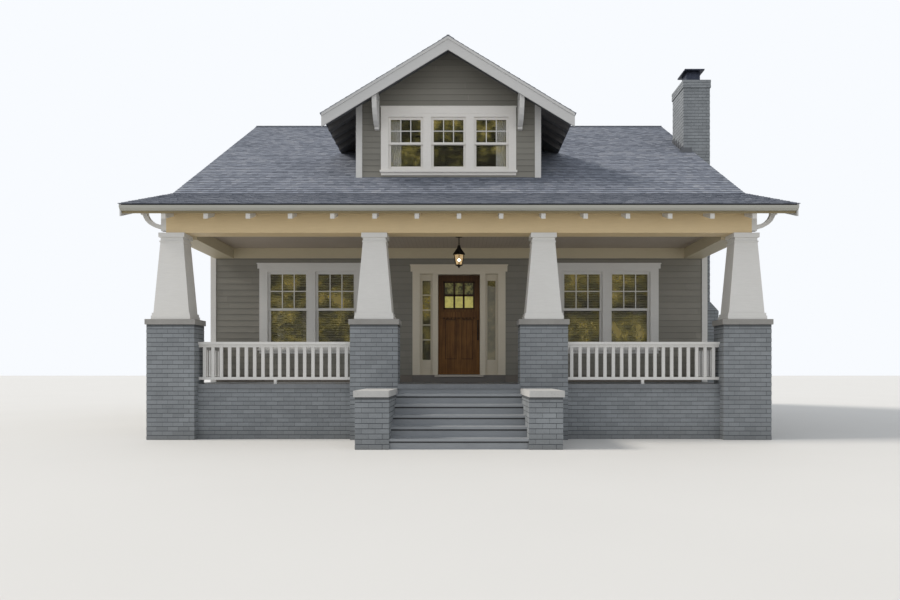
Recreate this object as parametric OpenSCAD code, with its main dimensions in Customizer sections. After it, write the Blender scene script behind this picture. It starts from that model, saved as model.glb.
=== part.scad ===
// Side-gabled bungalow with a full-width front porch, tapered columns on
// brick piers, a front gable dormer and a chimney on the right wall.
// Millimetres, +Z up. Origin: at ground level, on the centre line, in the
// plane of the front wall's outer face. The porch lies towards -Y.

/* [House body] */
// Width over the outer faces of the side walls
house_w = 10540; // [9500:10:12000]
// Depth from the front wall to the rear wall
house_d = 9800; // [9000:10:12000]
// Thickness of the outer walls
wall_t = 160; // [140:5:200]
// Height of the porch floor above the ground
porch_z = 984; // [960:6:1080]
// Height of the house floor above the porch floor
floor_step = 130; // [100:5:150]
// Thickness of the floors
floor_t = 200; // [150:5:240]
// Height of the upper floor's top above the ground
upper_floor_z = 4120; // [4050:10:4200]
// Thickness of the masonry under the walls
foundation_t = 320; // [280:10:380]
// Set-back of the masonry from the wall's face
foundation_inset = 20; // [5:1:30]
// Depth of the ledge in front of the front wall that carries the porch floor
porch_ledge = 80; // [60:5:120]

/* [Roof] */
// Height of the roof's top surface at the front eave
eave_z = 4090; // [4070:5:4120]
// Distance from the front wall to the front eave
eave_reach = 2730; // [2680:10:2900]
// Distance from the front wall to the change of pitch, and the rear overhang
overhang = 600; // [500:10:700]
// Pitch over the porch, in degrees
porch_pitch = 19.5; // [18:0.5:21]
// Pitch of the main roof, in degrees
main_pitch = 32; // [31.5:0.5:34]
// Vertical thickness of the boarding and shingles
deck_t = 40; // [30:2:60]
// Overhang of the roof past the side walls
rake = 530; // [450:10:600]
// Vertical depth of the barge boards on the side gables
barge_h = 215; // [200:5:280]
// Thickness of barge boards and fascias
board_t = 25; // [18:1:32]

/* [Dormer] */
// Offset of the dormer from the centre line
dormer_x = -230; // [-400:10:400]
// Width over the dormer's side walls
dormer_w = 4010; // [3800:10:4200]
// Set-back of the dormer's front wall from the house front
dormer_y = 400; // [300:10:500]
// Drop of the dormer's ridge below the main ridge
dormer_ridge_drop = 20; // [10:5:100]
// Pitch of the dormer's roof, in degrees
dormer_pitch = 31.3; // [30:0.1:32]
// Overhang of the dormer's roof past its side walls
dormer_side_overhang = 660; // [550:10:700]
// Overhang of the dormer's roof past its front wall
dormer_front_overhang = 600; // [500:10:650]
// Vertical depth of the dormer's barge boards
dormer_barge_h = 285; // [240:5:320]

/* [Porch] */
// Depth of the front beam
beam_d = 340; // [300:10:360]
// Height of the front beam's underside above the ground
beam_z = 3672; // [3640:4:3700]
// Width of the side beams
side_beam_w = 400; // [360:10:420]
// Drop of the side beams below the front beam
side_beam_drop = 52; // [0:4:80]
// Distance from the front wall to the centre of the front beam
beam_reach = 2175; // [2150:5:2200]
// Height of the porch ceiling above the ground
ceiling_z = 3840; // [3800:5:3880]
// Distance from the centre line to each inner pier's centre
inner_pier_x = 1505; // [1450:5:1600]
// Distance from the side walls' outer faces in to each outer pier's centre
outer_pier_inset = 170; // [120:10:200]
// Width of the brick piers
pier_w = 840; // [780:10:880]
// Depth of the brick piers
pier_d = 440; // [420:10:480]
// Height of the brick piers
pier_h = 2040; // [1980:10:2100]
// Thickness of the pier caps
cap_t = 95; // [80:5:110]
// Overhang of the masonry caps
cap_overhang = 26; // [22:2:40]
// Width of the column shafts at the foot
column_foot_w = 630; // [600:10:680]
// Width of the column shafts at the head
column_head_w = 395; // [370:5:430]
// Depth of the column shafts at the foot
column_foot_d = 380; // [340:10:400]
// Depth of the column shafts at the head
column_head_d = 320; // [300:10:340]
// Thickness of the porch floor
deck_floor_t = 80; // [60:5:100]
// Distance from the front wall to the porch floor's edge between the piers
deck_reach = 2260; // [2200:10:2350]
// Distance from the porch floor's edge to the top riser of the steps
landing = 140; // [120:10:240]

/* [Steps] */
// Number of risers from the ground to the porch floor
risers = 6; // [5:1:7]
// Depth of each step
going = 280; // [260:5:300]
// Thickness of the treads
tread_t = 38; // [30:2:45]
// Overhang of each tread over its riser
nosing = 30; // [20:2:40]
// Thickness of the riser boards
riser_t = 22; // [18:1:28]
// Width of the brick walls beside the steps
cheek_w = 520; // [460:10:560]
// Height of the brick walls beside the steps
cheek_h = 810; // [700:10:860]
// Thickness of the caps on those walls
cheek_cap_t = 100; // [80:5:120]

/* [Railings] */
// Height of the hand rail's top above the porch floor
rail_h = 756; // [700:2:900]
// Width of the hand rail
rail_w = 110; // [90:5:130]
// Height of the hand rail
rail_t = 45; // [35:5:55]
// Thickness of the sub rail and the bottom rail
rail_bar = 50; // [40:5:60]
// Gap under the bottom rail
rail_gap = 76; // [40:2:90]
// Face width of the balusters
baluster_w = 58; // [45:1:65]
// Depth of the balusters
baluster_d = 32; // [25:1:45]
// Distance between baluster centres
baluster_pitch = 150; // [130:5:170]

/* [Front door] */
// Width of the door leaf
leaf_w = 910; // [880:5:940]
// Height of the door leaf
leaf_h = 2140; // [2100:4:2180]
// Thickness of the door leaf
leaf_t = 45; // [40:1:50]
// Height of the sill's top above the house floor
door_sill_h = 28; // [20:1:40]
// Gap round the door leaf
leaf_gap = 7; // [6.5:0.5:9]
// Width of the posts beside the door
door_post_w = 100; // [90:5:120]
// Width of each sidelight between the posts and the jambs
sidelight_w = 270; // [250:5:290]
// Width of the glass in each sidelight
sidelight_glass_w = 172; // [150:2:180]
// Width of the outer jambs
jamb_w = 45; // [40:1:60]
// Width of the casing beside the door
door_casing_w = 115; // [100:5:130]
// Width of the casing beside the windows
casing_w = 140; // [100:5:150]
// Thickness of the casing on the wall's face
casing_t = 28; // [20:1:32]

/* [Windows] */
// Height of the ground storey windows' heads above the ground
window_top_z = 3372; // [3350:2:3400]
// Height of the ground storey windows' openings
window_h = 1672; // [1600:4:1700]
// Width of one ground storey window
window_w = 930; // [850:5:960]
// Distance from the centre line to each front window pair's centre
front_window_x = 3140; // [3050:10:3250]
// Width of the post between coupled windows
mullion_w = 90; // [70:5:110]
// Face width of the window jambs
frame_w = 35; // [30:1:45]
// Face width of the sash members
sash_w = 50; // [40:1:55]
// Thickness of each sash
sash_t = 35; // [30:1:38]
// Thickness of the glass
glass_t = 6; // [4:1:8]
// Height of the head casing over the windows
head_casing_h = 152; // [130:2:160]
// Width of one dormer window
dormer_window_w = 825; // [780:5:830]
// Height of the dormer windows' openings
dormer_window_h = 1212; // [1150:2:1220]
// Gap between the roof at the dormer's foot and the dormer windows' openings
dormer_window_gap = 150; // [140:5:200]

/* [Chimney] */
// Distance from the front wall to the stack's front face
stack_y = 2300; // [2200:10:2450]
// Distance from the wall to the stack above the roof
stack_gap = 320; // [300:10:360]
// Width of the stack above the roof
stack_w = 650; // [600:10:700]
// Depth of the stack along the wall
stack_d = 820; // [700:10:900]
// Height of the stack's top above the ground
stack_z = 8466; // [8400:6:8700]
// Width of the chimney's base, measured out from the wall
breast_w = 1080; // [1040:10:1150]
// Depth of the chimney's base along the wall
breast_d = 1350; // [1200:10:1500]
// Height of the chimney's base
breast_h = 2700; // [2500:10:2800]
// Height of the sloped shoulders above the base
shoulder_h = 260; // [220:10:320]
// Width of the flue
flue_w = 340; // [300:10:360]

/* [Lantern] */
// Distance from the front wall to the lantern
lantern_y = 1300; // [1200:10:1400]
// Width of the lantern's roof
lantern_w = 265; // [250:5:310]

/* [Hidden] */

// Running clearance between pieces that seat on each other
fit = 0.3;
// How far a cutting shape runs past what it cuts
over = 20;

// Half sizes and lines that several pieces share
half_w = house_w / 2;
roof_half = half_w + rake;
ridge_y = house_d / 2;
rear_eave_y = house_d + overhang;
break_z = eave_z + (eave_reach - overhang) * tan(porch_pitch);
ridge_z = break_z + (ridge_y + overhang) * tan(main_pitch);
dormer_ridge_z = ridge_z - dormer_ridge_drop;
floor_z = porch_z + floor_step;
base_z = floor_z - floor_t;
riser_h = porch_z / risers;

// Porch lines
outer_pier_x = half_w - outer_pier_inset;
beam_half = outer_pier_x + column_head_w / 4;
beam_front_y = -beam_reach - beam_d / 2;
beam_back_y = -beam_reach + beam_d / 2;
pier_front_y = -beam_reach - pier_d / 2;
pier_back_y = -beam_reach + pier_d / 2;
side_beam_x = beam_half - side_beam_w;
stair_reach = deck_reach + landing;
side_beam_h = 380;
corner_gap = 10;
pier_xs = [-outer_pier_x, -inner_pier_x, inner_pier_x, outer_pier_x];
cap_z = pier_h + cap_t;
deck_rim = 30;
skirt_t = 200;
cheek_front = 20;
ceiling_t = 20;
frieze_h = 215;
frieze_t = 30;
infill_t = 100;

// Column mouldings: how far each stands out from the shaft's foot or head, its height and its drop
plinth_out = 32;
plinth_h = 62;
base_out = 20;
base_h = 50;
capital_out = 30;
capital_h = 80;
bead_out = 17;
bead_h = 24;
bead_drop = 60;

// Eave parts
fascia_set_back = 30;
fascia_h = 125;
tail_w = 75;
tail_h = 225;
tail_count = 15;
strip_h = 62;
strip_t = 14;
tail_end_inset = 340;
gutter_w = 95;
gutter_h = 82;
gutter_wall = 5;
gutter_foot_share = 0.7;
gutter_shelf_share = 0.4;

// Knee braces
brace_w = 90;
brace_leg = 480;
brace_strut = 70;
brace_steps = 6;
brace_block_w = 66;
brace_block_h = 190;
brace_end_gap = 150;

// Dormer lines
dormer_half = dormer_w / 2;
dormer_wall_t = 140;
dormer_roof_half = dormer_half + dormer_side_overhang;
dormer_eave_y = dormer_y - dormer_front_overhang;
dormer_board_w = 110;
dormer_mullion_w = 115;
dormer_head_casing_h = 200;
dormer_casing_w = 130;
dormer_brace_x = 1565;
dormer_brace_w = 100;
dormer_brace_leg = 740;
dormer_tail_h = 120;
dormer_tail_pitch = 420;
dormer_tail_count = 5;
dormer_tail_gap = 200;

// Door lines
sill_z = floor_z + door_sill_h;
leaf_z = sill_z + leaf_gap;
leaf_top_z = leaf_z + leaf_h;
door_head_z = leaf_top_z + leaf_gap;
door_bay_half = leaf_w / 2 + leaf_gap;
post_out = door_bay_half + door_post_w;
sidelight_out = post_out + sidelight_w;
door_opening_half = sidelight_out + jamb_w;
door_opening_z = door_head_z + jamb_w;
door_frame_t = 130;
stop_w = 14;
sill_nose = 60;
leaf_inset = 5;
leaf_y = wall_t - leaf_inset - leaf_t;
sidelight_y = leaf_y - sash_t;
// Lights and panels of the leaf, measured up from its foot
stile_w = 120;
lite_z = 1400;
lite_h = 600;
panel_z = 325;
panel_h = 860;
panel_w = 245;
panel_side = 155;
panel_in = 12;
shelf_z = 1220;
shelf_h = 120;
shelf_out = 35;
shelf_side = 78;
// Glass of the sidelights, measured up from the house floor
side_glass_z = 346;
side_glass_h = 1700;
side_panel_z = 90;
side_panel_in = 12;
side_rebate = 25;
// The pull handle
handle_z = 735;
handle_h = 430;
handle_grip = 24;
handle_reach = 55;
handle_side = 50;
handle_foot = 50;
// The hinges, measured up from the leaf's foot
hinge_zs = [180, 1070, 1860];
hinge_h = 100;
hinge_part_h = (hinge_h - 2 * fit) / 3;
hinge_r = 6;
hinge_plate_w = 30;
hinge_plate_t = 3;
hinge_x = -leaf_w / 2 - leaf_gap / 2;
hinge_y = wall_t + hinge_r;

// Window lines
window_frame_t = 110;
window_recess = 15;
sill_reach = 45;
sill_t = 45;
apron_h = 60;
head_cap_h = 22;
head_cap_out = 14;
head_ear = 40;
head_lip = 5;
corner_board_w = 90;
corner_board_t = 25;
window_z = window_top_z - window_h;
dormer_window_z = break_z + (dormer_y + overhang) * tan(main_pitch) + dormer_window_gap;
// Places of the side windows along the house, the chimney taking the front one on the right
side_window_shares = [0.2, 0.5, 0.8];
right_window_shares = [0.5, 0.8];
side_window_ys = side_window_shares * house_d;
right_window_ys = right_window_shares * house_d;
gable_window_z = 5250;
gable_window_h = 1350;
rear_window_xs = [-front_window_x, 0, front_window_x];

// Chimney lines
stack_x = half_w + stack_gap;
stack_mid_y = stack_y + stack_d / 2;
breast_y = stack_mid_y - breast_d / 2;
crown_h = 200;
crown_out = 18;
hood_leg_h = 320;
hood_plate_t = 20;
hood_w = 493;
hood_d = 560;

// Lantern sizes, from the ceiling down
lantern_canopy_w = 130;
lantern_canopy_h = 30;
lantern_stem_w = 18;
lantern_stem_h = 160;
lantern_neck_h = 60;
lantern_neck_w = 56;
lantern_roof_h = 175;
lantern_waist_w = 90;
lantern_head_w = 230;
lantern_foot_w = 150;
lantern_body_h = 215;
lantern_ring = 14;
lantern_bar = 12;
lantern_finial_h = 50;
// Radius of the glass at its foot and at its head
lantern_r0 = lantern_foot_w / 2 - lantern_bar;
lantern_r1 = lantern_head_w / 2 - lantern_bar;

// Top surface of the front slope, with its change of pitch, at depth y
function front_top(y) = y < -overhang
    ? eave_z + (y + eave_reach) * tan(porch_pitch)
    : break_z + (y + overhang) * tan(main_pitch);
// Top surface of either slope at depth y
function roof_top(y) = y <= ridge_y ? front_top(y) : ridge_z - (y - ridge_y) * tan(main_pitch);
// Underside of the roof boarding at depth y
function roof_under(y) = roof_top(y) - deck_t;
// Top surface of the dormer's roof at distance u from its own centre line
function dormer_top(u) = dormer_ridge_z - abs(u) * tan(dormer_pitch);
function dormer_under(u) = dormer_top(u) - deck_t;

// Extrudes a profile of [y, z] points from x0 to x1
module along_x(x0, x1, points) {
    translate([x0, 0, 0]) rotate([90, 0, 90]) linear_extrude(x1 - x0) polygon(points);
}

// Extrudes a profile of [x, z] points from y0 to y1
module along_y(y0, y1, points) {
    translate([0, y1, 0]) rotate([90, 0, 0]) linear_extrude(y1 - y0) polygon(points);
}

// A box between two corners
module block(a, b) {
    translate(a) cube(b - a);
}

// Copies its children to the left side as well
module both_sides() {
    children();
    mirror([1, 0, 0]) children();
}

// Everything below the top surface of the main roof's front slope
module below_main_roof() {
    y0 = -overhang;
    y1 = ridge_y + over;
    along_x(-roof_half, roof_half, [
        [y0, base_z], [y1, base_z], [y1, front_top(y1) + fit], [y0, front_top(y0) + fit]
    ]);
}

// The opening of a window in a wall that runs along X
module window_hole(x, z, w, h, y0, y1) {
    block([x - w / 2, y0 - over, z], [x + w / 2, y1 + over, z + h]);
}

// Width of a row of coupled windows
function row_w(count, w, post) = count * w + (count - 1) * post;

module foundation() {
    x = half_w - foundation_inset;
    y0 = foundation_inset + foundation_t;
    y1 = house_d - foundation_inset;
    color("slategray") difference() {
        block([-x, -porch_ledge, 0], [x, y1, base_z - fit]);
        block([-x + foundation_t, y0, -over], [x - foundation_t, y1 - foundation_t, base_z + over]);
        block([-x - over, -porch_ledge - over, porch_z - deck_floor_t - fit], [x + over, 0, base_z + over]);
    }
}

module main_floor() {
    x = half_w - wall_t - fit;
    color("tan") block([-x, wall_t + fit, base_z], [x, house_d - wall_t - fit, floor_z]);
}

module upper_floor() {
    x = half_w - wall_t - fit;
    z = upper_floor_z;
    color("tan") block([-x, wall_t + fit, z - floor_t], [x, house_d - wall_t - fit, z]);
}

// A stretch of the front wall between x0 and x1, from z0 up to the roof
module front_wall_stretch(x0, x1, z0) {
    along_x(x0, x1, [
        [0, z0], [wall_t, z0], [wall_t, roof_under(wall_t) - fit], [0, roof_under(0) - fit]
    ]);
}

// The front wall: a stretch on each side of the door and one over it
module front_wall() {
    w = row_w(2, window_w, mullion_w);
    color("dimgray") {
        both_sides() difference() {
            front_wall_stretch(door_opening_half + fit, half_w, base_z);
            window_hole(front_window_x, window_z, w, window_h, 0, wall_t);
        }
        front_wall_stretch(-door_opening_half, door_opening_half, door_opening_z + fit);
    }
}

module rear_wall() {
    y0 = house_d - wall_t;
    color("dimgray") difference() {
        along_x(-half_w, half_w, [
            [y0, base_z], [house_d, base_z], [house_d, roof_under(house_d) - fit],
            [y0, roof_under(y0) - fit]
        ]);
        for (x = rear_window_xs) window_hole(x, window_z, window_w, window_h, y0, house_d);
    }
}

// The right side wall, a gable up to the ridge
module side_wall(window_ys) {
    y0 = wall_t + fit;
    y1 = house_d - wall_t - fit;
    x0 = half_w - wall_t;
    difference() {
        along_x(x0, half_w, [
            [y0, base_z], [y1, base_z], [y1, roof_under(y1) - fit],
            [ridge_y, ridge_z - deck_t - fit], [y0, roof_under(y0) - fit]
        ]);
        for (y = window_ys)
            block([x0 - over, y - window_w / 2, window_z],
                [half_w + over, y + window_w / 2, window_z + window_h]);
        gable_w = row_w(2, window_w, mullion_w);
        block([x0 - over, ridge_y - gable_w / 2, gable_window_z],
            [half_w + over, ridge_y + gable_w / 2, gable_window_z + gable_window_h]);
    }
}

module right_wall() {
    color("dimgray") side_wall(right_window_ys);
}

module left_wall() {
    color("dimgray") mirror([1, 0, 0]) side_wall(side_window_ys);
}

// Boards on both faces of the four corners; the front ones are cut round the side beams
module corner_boards() {
    beam_x = beam_half + fit;
    beam_low = beam_z - side_beam_drop - fit;
    t = corner_board_t;
    w = corner_board_w;
    y0 = house_d - w;
    y1 = house_d + t;
    rear_top = roof_under(y1) - tail_h - fit;
    color("white") both_sides() {
        block([half_w - w, -t, porch_z + fit], [half_w + t, -fit, beam_low]);
        along_x(beam_x, half_w + t, [
            [-t, beam_low], [-fit, beam_low], [-fit, roof_under(-fit) - fit], [-t, roof_under(-t) - fit]
        ]);
        along_x(half_w + fit, half_w + t, [
            [0, base_z], [w, base_z], [w, roof_under(w) - fit], [0, roof_under(0) - fit]
        ]);
        difference() {
            block([half_w - w, y0, base_z], [half_w + t, y1, rear_top]);
            block([half_w - w - over, y0 - over, base_z - over],
                [half_w + fit, house_d + fit, rear_top + over]);
        }
    }
    color("white") dormer_corner_boards();
}

// The board along the head of the front wall, under the porch ceiling
module porch_frieze() {
    x = side_beam_x - fit;
    color("wheat") block([-x, -frieze_t, ceiling_z - frieze_h], [x, -fit, ceiling_z - fit]);
}

// A slab of the main front slope between x0 and x1, from depth y0 up to depth y1
module front_slab(x0, x1, y0, y1) {
    along_x(x0, x1, [
        [y0, front_top(y0) - deck_t], [y1, front_top(y1) - deck_t], [y1, front_top(y1)], [y0, front_top(y0)]
    ]);
}

// The main front slope in slabs round the dormer's room and the stack
module main_roof_front() {
    x0 = dormer_x - dormer_half + dormer_wall_t;
    x1 = dormer_x + dormer_half - dormer_wall_t;
    y0 = dormer_y + dormer_wall_t;
    y1 = (dormer_under(dormer_half) - break_z) / tan(main_pitch) - overhang - dormer_wall_t;
    top = ridge_y - fit;
    color("slategray") {
        front_slab(-roof_half, x0, -overhang, top);
        front_slab(x0 + fit, x1 - fit, -overhang, y0);
        front_slab(x0 + fit, x1 - fit, y1, top);
        front_slab(x1, stack_x - fit, -overhang, top);
        front_slab(stack_x, roof_half, -overhang, stack_y - fit);
        front_slab(stack_x, roof_half, stack_y + stack_d + fit, top);
    }
}

module main_roof_rear() {
    color("slategray") along_x(-roof_half, roof_half, [
        [ridge_y, ridge_z - deck_t], [rear_eave_y, roof_under(rear_eave_y)],
        [rear_eave_y, roof_top(rear_eave_y)], [ridge_y, ridge_z]
    ]);
}

module porch_roof() {
    y0 = -eave_reach;
    y1 = -overhang - fit;
    color("slategray") along_x(-roof_half, roof_half, [
        [y0, eave_z - deck_t], [y1, front_top(y1) - deck_t], [y1, front_top(y1)], [y0, eave_z]
    ]);
}

// One barge board of the side gables between depths y0 and y1, with a crown strip along its top
module barge(y0, y1) {
    barge_strip(y0, y1, board_t, barge_h);
    barge_strip(y0, y1, board_t + strip_t, strip_h);
}

module barge_strip(y0, y1, t, h) {
    along_x(roof_half + fit, roof_half + t, [
        [y0, roof_top(y0) - h], [y1, roof_top(y1) - h], [y1, roof_top(y1)], [y0, roof_top(y0)]
    ]);
}

module barge_boards() {
    gap = fit;
    color("white") {
        both_sides() {
            barge(-eave_reach, -overhang - gap);
            barge(ridge_y + gap, rear_eave_y);
        }
        mirror([1, 0, 0]) barge(-overhang, ridge_y);
        barge(-overhang, stack_y - gap);
        barge(stack_y + stack_d + gap, ridge_y);
        dormer_barge_boards();
    }
}

// The boards along the eaves, under the roof's edge
module eave_fascias() {
    y = -eave_reach + fascia_set_back;
    top = roof_under(y) - fit;
    rear_y = rear_eave_y - fascia_set_back;
    rear_top = roof_under(rear_y) - fit;
    color("wheat") {
        block([-roof_half, y, top - fascia_h], [roof_half, y + board_t, top]);
        block([-roof_half, rear_y - board_t, rear_top - fascia_h], [roof_half, rear_y, rear_top]);
    }
}

// An open trough with a shaped front, its back on the plane y = 0 and its rim at z = 0
module gutter_profile(x0, x1) {
    w = gutter_w;
    h = gutter_h;
    t = gutter_wall;
    foot = w * gutter_foot_share;
    shelf = h * (1 - gutter_shelf_share);
    along_x(x0, x1, [
        [0, 0], [0, -h], [-foot, -h], [-w, -shelf], [-w, 0], [-w + 2 * t, 0], [-w + 2 * t, -t],
        [-w + t, -t], [-w + t, -shelf + t], [-foot + t, -h + t], [-t, -h + t], [-t, 0]
    ]);
}

module gutters() {
    color("wheat") {
        translate([0, -eave_reach + fascia_set_back - fit, roof_under(-eave_reach) - fit])
            gutter_profile(-roof_half, roof_half);
        translate([0, rear_eave_y - fascia_set_back + fit, roof_under(rear_eave_y) - fit])
            mirror([0, 1, 0]) gutter_profile(-roof_half, roof_half);
    }
}

// A rafter end with a plumb cut, from y0 out to y1 under the roof
module rafter_tail(x, y0, y1) {
    along_x(x - tail_w / 2, x + tail_w / 2, [
        [y0, roof_under(y0) - tail_h], [y1, roof_under(y1) - tail_h], [y1, roof_under(y1) - fit],
        [y0, roof_under(y0) - fit]
    ]);
}

// The place of tail i in a row that spans the house
function tail_x(i) = -half_w + tail_end_inset / 2 + i * (house_w - tail_end_inset) / (tail_count - 1);

module rafter_tails() {
    y_out = -eave_reach + fascia_set_back + board_t + fit;
    color("white") for (i = [0 : tail_count - 1]) {
        rafter_tail(tail_x(i), y_out, beam_front_y - fit);
        rafter_tail(tail_x(i), house_d + fit, rear_eave_y - fascia_set_back - board_t - fit);
    }
    color("white") dormer_tails();
}

// The rafters' ends under the dormer's side eaves
module dormer_tails() {
    u0 = dormer_half + corner_board_t + fit;
    u1 = dormer_roof_half - fascia_set_back;
    h = dormer_tail_h;
    translate([dormer_x, 0, 0]) both_sides() for (i = [0 : dormer_tail_count - 1]) {
        y = dormer_eave_y + dormer_tail_gap + i * dormer_tail_pitch;
        along_y(y - tail_w / 2, y + tail_w / 2, [
            [u0, dormer_under(u0) - h], [u1, dormer_under(u1) - h], [u1, dormer_under(u1) - fit],
            [u0, dormer_under(u0) - fit]
        ]);
    }
}

// A point of a curve that sags between a brace's leg, at [w / 2, low], and its arm's block, at [out, high]
function strut_point(i, w, low, out, high) = [
    w / 2 + (out - w / 2) * sin(90 * i / brace_steps),
    low + (high - low) * (1 - cos(90 * i / brace_steps))
];

// A knee brace drawn in [out, up]: a leg on the wall, an arm at the top with a block under its end, and
// a curved strut between them
module brace_outline(arm, leg, w) {
    out = arm - brace_block_w / 2;
    high = leg - brace_block_h + brace_strut / 2;
    low = brace_strut / 2;
    square([w, leg]);
    translate([0, leg - w]) square([arm, w]);
    translate([arm - brace_block_w, leg - brace_block_h]) square([brace_block_w, brace_block_h]);
    polygon(concat(
        [for (i = [0 : brace_steps]) strut_point(i, w, low, out, high)],
        [for (i = [brace_steps : -1 : 0])
            strut_point(i, w, low + brace_strut, out - brace_strut, high + brace_strut / 3)]
    ));
}

// A knee brace on the right side, its leg's back at x, its middle at depth y and its arm's top at height z
module side_brace(x, y, z) {
    translate([x + fit, y + brace_w / 2, z - brace_leg]) rotate([90, 0, 0])
        linear_extrude(brace_w) brace_outline(roof_half - x - brace_end_gap, brace_leg, brace_w);
}

module knee_braces() {
    front_y = beam_front_y + brace_w / 2;
    wall_y = corner_board_w + corner_gap + brace_w / 2;
    rear_y = house_d - wall_y;
    color("white") both_sides() {
        side_brace(beam_half, front_y, roof_under(front_y - brace_w / 2) - fit);
        side_brace(half_w, wall_y, roof_under(wall_y - brace_w / 2) - fit);
        side_brace(half_w, ridge_y, roof_under(ridge_y + brace_w / 2) - fit);
        side_brace(half_w, rear_y, roof_under(rear_y + brace_w / 2) - fit);
    }
    color("white") dormer_braces();
}

// The dormer's front wall, from the roof's surface up to its gable
module dormer_front_wall() {
    h = dormer_half;
    w = row_w(3, dormer_window_w, dormer_mullion_w);
    color("dimgray") difference() {
        translate([dormer_x, 0, 0]) along_y(dormer_y, dormer_y + dormer_wall_t, [
            [-h, break_z], [h, break_z], [h, dormer_under(h) - fit], [0, dormer_ridge_z - deck_t - fit],
            [-h, dormer_under(h) - fit]
        ]);
        below_main_roof();
        window_hole(dormer_x, dormer_window_z, w, dormer_window_h, dormer_y, dormer_y + dormer_wall_t);
    }
}

module dormer_side_walls() {
    h = dormer_half;
    t = dormer_wall_t;
    y0 = dormer_y + t + fit;
    color("dimgray") difference() {
        translate([dormer_x, 0, 0]) both_sides() along_y(y0, ridge_y, [
            [h - t, break_z], [h, break_z], [h, dormer_under(h) - fit], [h - t, dormer_under(h - t) - fit]
        ]);
        below_main_roof();
    }
}

// The right slope of the dormer's roof, cut where it meets the main roof
module dormer_slope() {
    h = dormer_roof_half;
    difference() {
        along_y(dormer_eave_y, ridge_y, [
            [fit, dormer_under(0)], [h, dormer_under(h)], [h, dormer_top(h)], [fit, dormer_ridge_z]
        ]);
        below_main_roof();
    }
}

module dormer_roof() {
    color("slategray") translate([dormer_x, 0, 0]) both_sides() dormer_slope();
}

// The dormer's barge boards, which meet at its ridge
module dormer_barge_boards() {
    translate([dormer_x, 0, 0]) both_sides() {
        dormer_barge_strip(board_t, dormer_barge_h);
        dormer_barge_strip(board_t + strip_t, strip_h);
    }
}

module dormer_barge_strip(t, d) {
    h = dormer_roof_half;
    along_y(dormer_eave_y - t, dormer_eave_y - fit, [
        [fit, dormer_ridge_z - d], [h, dormer_top(h) - d], [h, dormer_top(h)], [fit, dormer_ridge_z]
    ]);
}

module dormer_corner_boards() {
    t = corner_board_t;
    w = dormer_board_w;
    u = dormer_half;
    difference() {
        translate([dormer_x, 0, 0]) both_sides() difference() {
            along_y(dormer_y - t, dormer_y + w, [
                [u - w, break_z], [u + t, break_z], [u + t, dormer_under(u + t) - fit],
                [u - w, dormer_under(u - w) - fit]
            ]);
            block([u - w - over, dormer_y - fit, break_z - over], [u + fit, dormer_y + w + over, ridge_z]);
        }
        below_main_roof();
    }
}

module dormer_braces() {
    w = dormer_brace_w;
    z = dormer_under(dormer_brace_x + w / 2) - fit;
    translate([dormer_x, 0, 0]) both_sides()
        translate([dormer_brace_x - w / 2, dormer_y - fit, z - dormer_brace_leg])
            mirror([0, 1, 0]) rotate([90, 0, 90]) linear_extrude(w)
                brace_outline(dormer_front_overhang - fit, dormer_brace_leg, w);
}

// The footprint of a pier, grown by g
module pier_print(x, g) {
    w = pier_w + 2 * g;
    d = pier_d + 2 * g;
    translate([x - w / 2, -beam_reach - d / 2]) square([w, d]);
}

module porch_floor() {
    x = half_w + deck_rim;
    stair_x = inner_pier_x - pier_w / 2 - fit;
    color("gray") translate([0, 0, porch_z - deck_floor_t]) linear_extrude(deck_floor_t) difference() {
        union() {
            translate([-x, -deck_reach]) square([2 * x, deck_reach - fit]);
            translate([-stair_x, -stair_reach - nosing]) square([2 * stair_x, stair_reach]);
        }
        for (px = pier_xs) pier_print(px, fit);
    }
}

// The brick walls under the porch floor, between the piers
module porch_base() {
    top = porch_z - deck_floor_t - fit;
    y = -deck_reach + deck_rim;
    x0 = inner_pier_x + pier_w / 2 + fit;
    x1 = outer_pier_x - pier_w / 2 - fit;
    x2 = inner_pier_x - pier_w / 2 - fit;
    color("slategray") {
        both_sides() {
            block([x0, y, 0], [x1, y + skirt_t, top]);
            block([half_w - skirt_t, pier_back_y + fit, 0], [half_w, -porch_ledge - fit, top]);
        }
        block([-x2, y, 0], [x2, y + skirt_t, top]);
    }
}

module porch_ceiling() {
    x = side_beam_x - fit;
    color("gray") block([-x, beam_back_y + fit, ceiling_z], [x, -fit, ceiling_z + ceiling_t]);
}

module porch_front_beam() {
    color("wheat") along_x(-beam_half, beam_half, [
        [beam_front_y, beam_z], [beam_back_y, beam_z], [beam_back_y, roof_under(beam_back_y) - fit],
        [beam_front_y, roof_under(beam_front_y) - fit]
    ]);
}

// The beams from the front beam back to the house, notched over the outer columns' heads
module porch_side_beams() {
    z0 = beam_z - side_beam_drop;
    y0 = beam_back_y + fit;
    y1 = -beam_reach + column_head_d / 2 + capital_out + fit;
    color("wheat") both_sides() along_x(side_beam_x, beam_half, [
        [y1, z0], [-fit, z0], [-fit, z0 + side_beam_h], [y0, z0 + side_beam_h], [y0, beam_z], [y1, beam_z]
    ]);
}

// The boarded triangles between the side beams and the porch roof
module porch_gables() {
    z0 = beam_z - side_beam_drop + side_beam_h + fit;
    y0 = beam_back_y + fit;
    color("dimgray") both_sides() along_x(beam_half - infill_t, beam_half, [
        [y0, z0], [-fit, z0], [-fit, roof_under(-fit) - fit],
        [-overhang, roof_under(-overhang) - fit], [y0, roof_under(y0) - fit]
    ]);
}

module brick_piers() {
    color("slategray") for (x = pier_xs) linear_extrude(pier_h) pier_print(x, 0);
}

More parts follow.
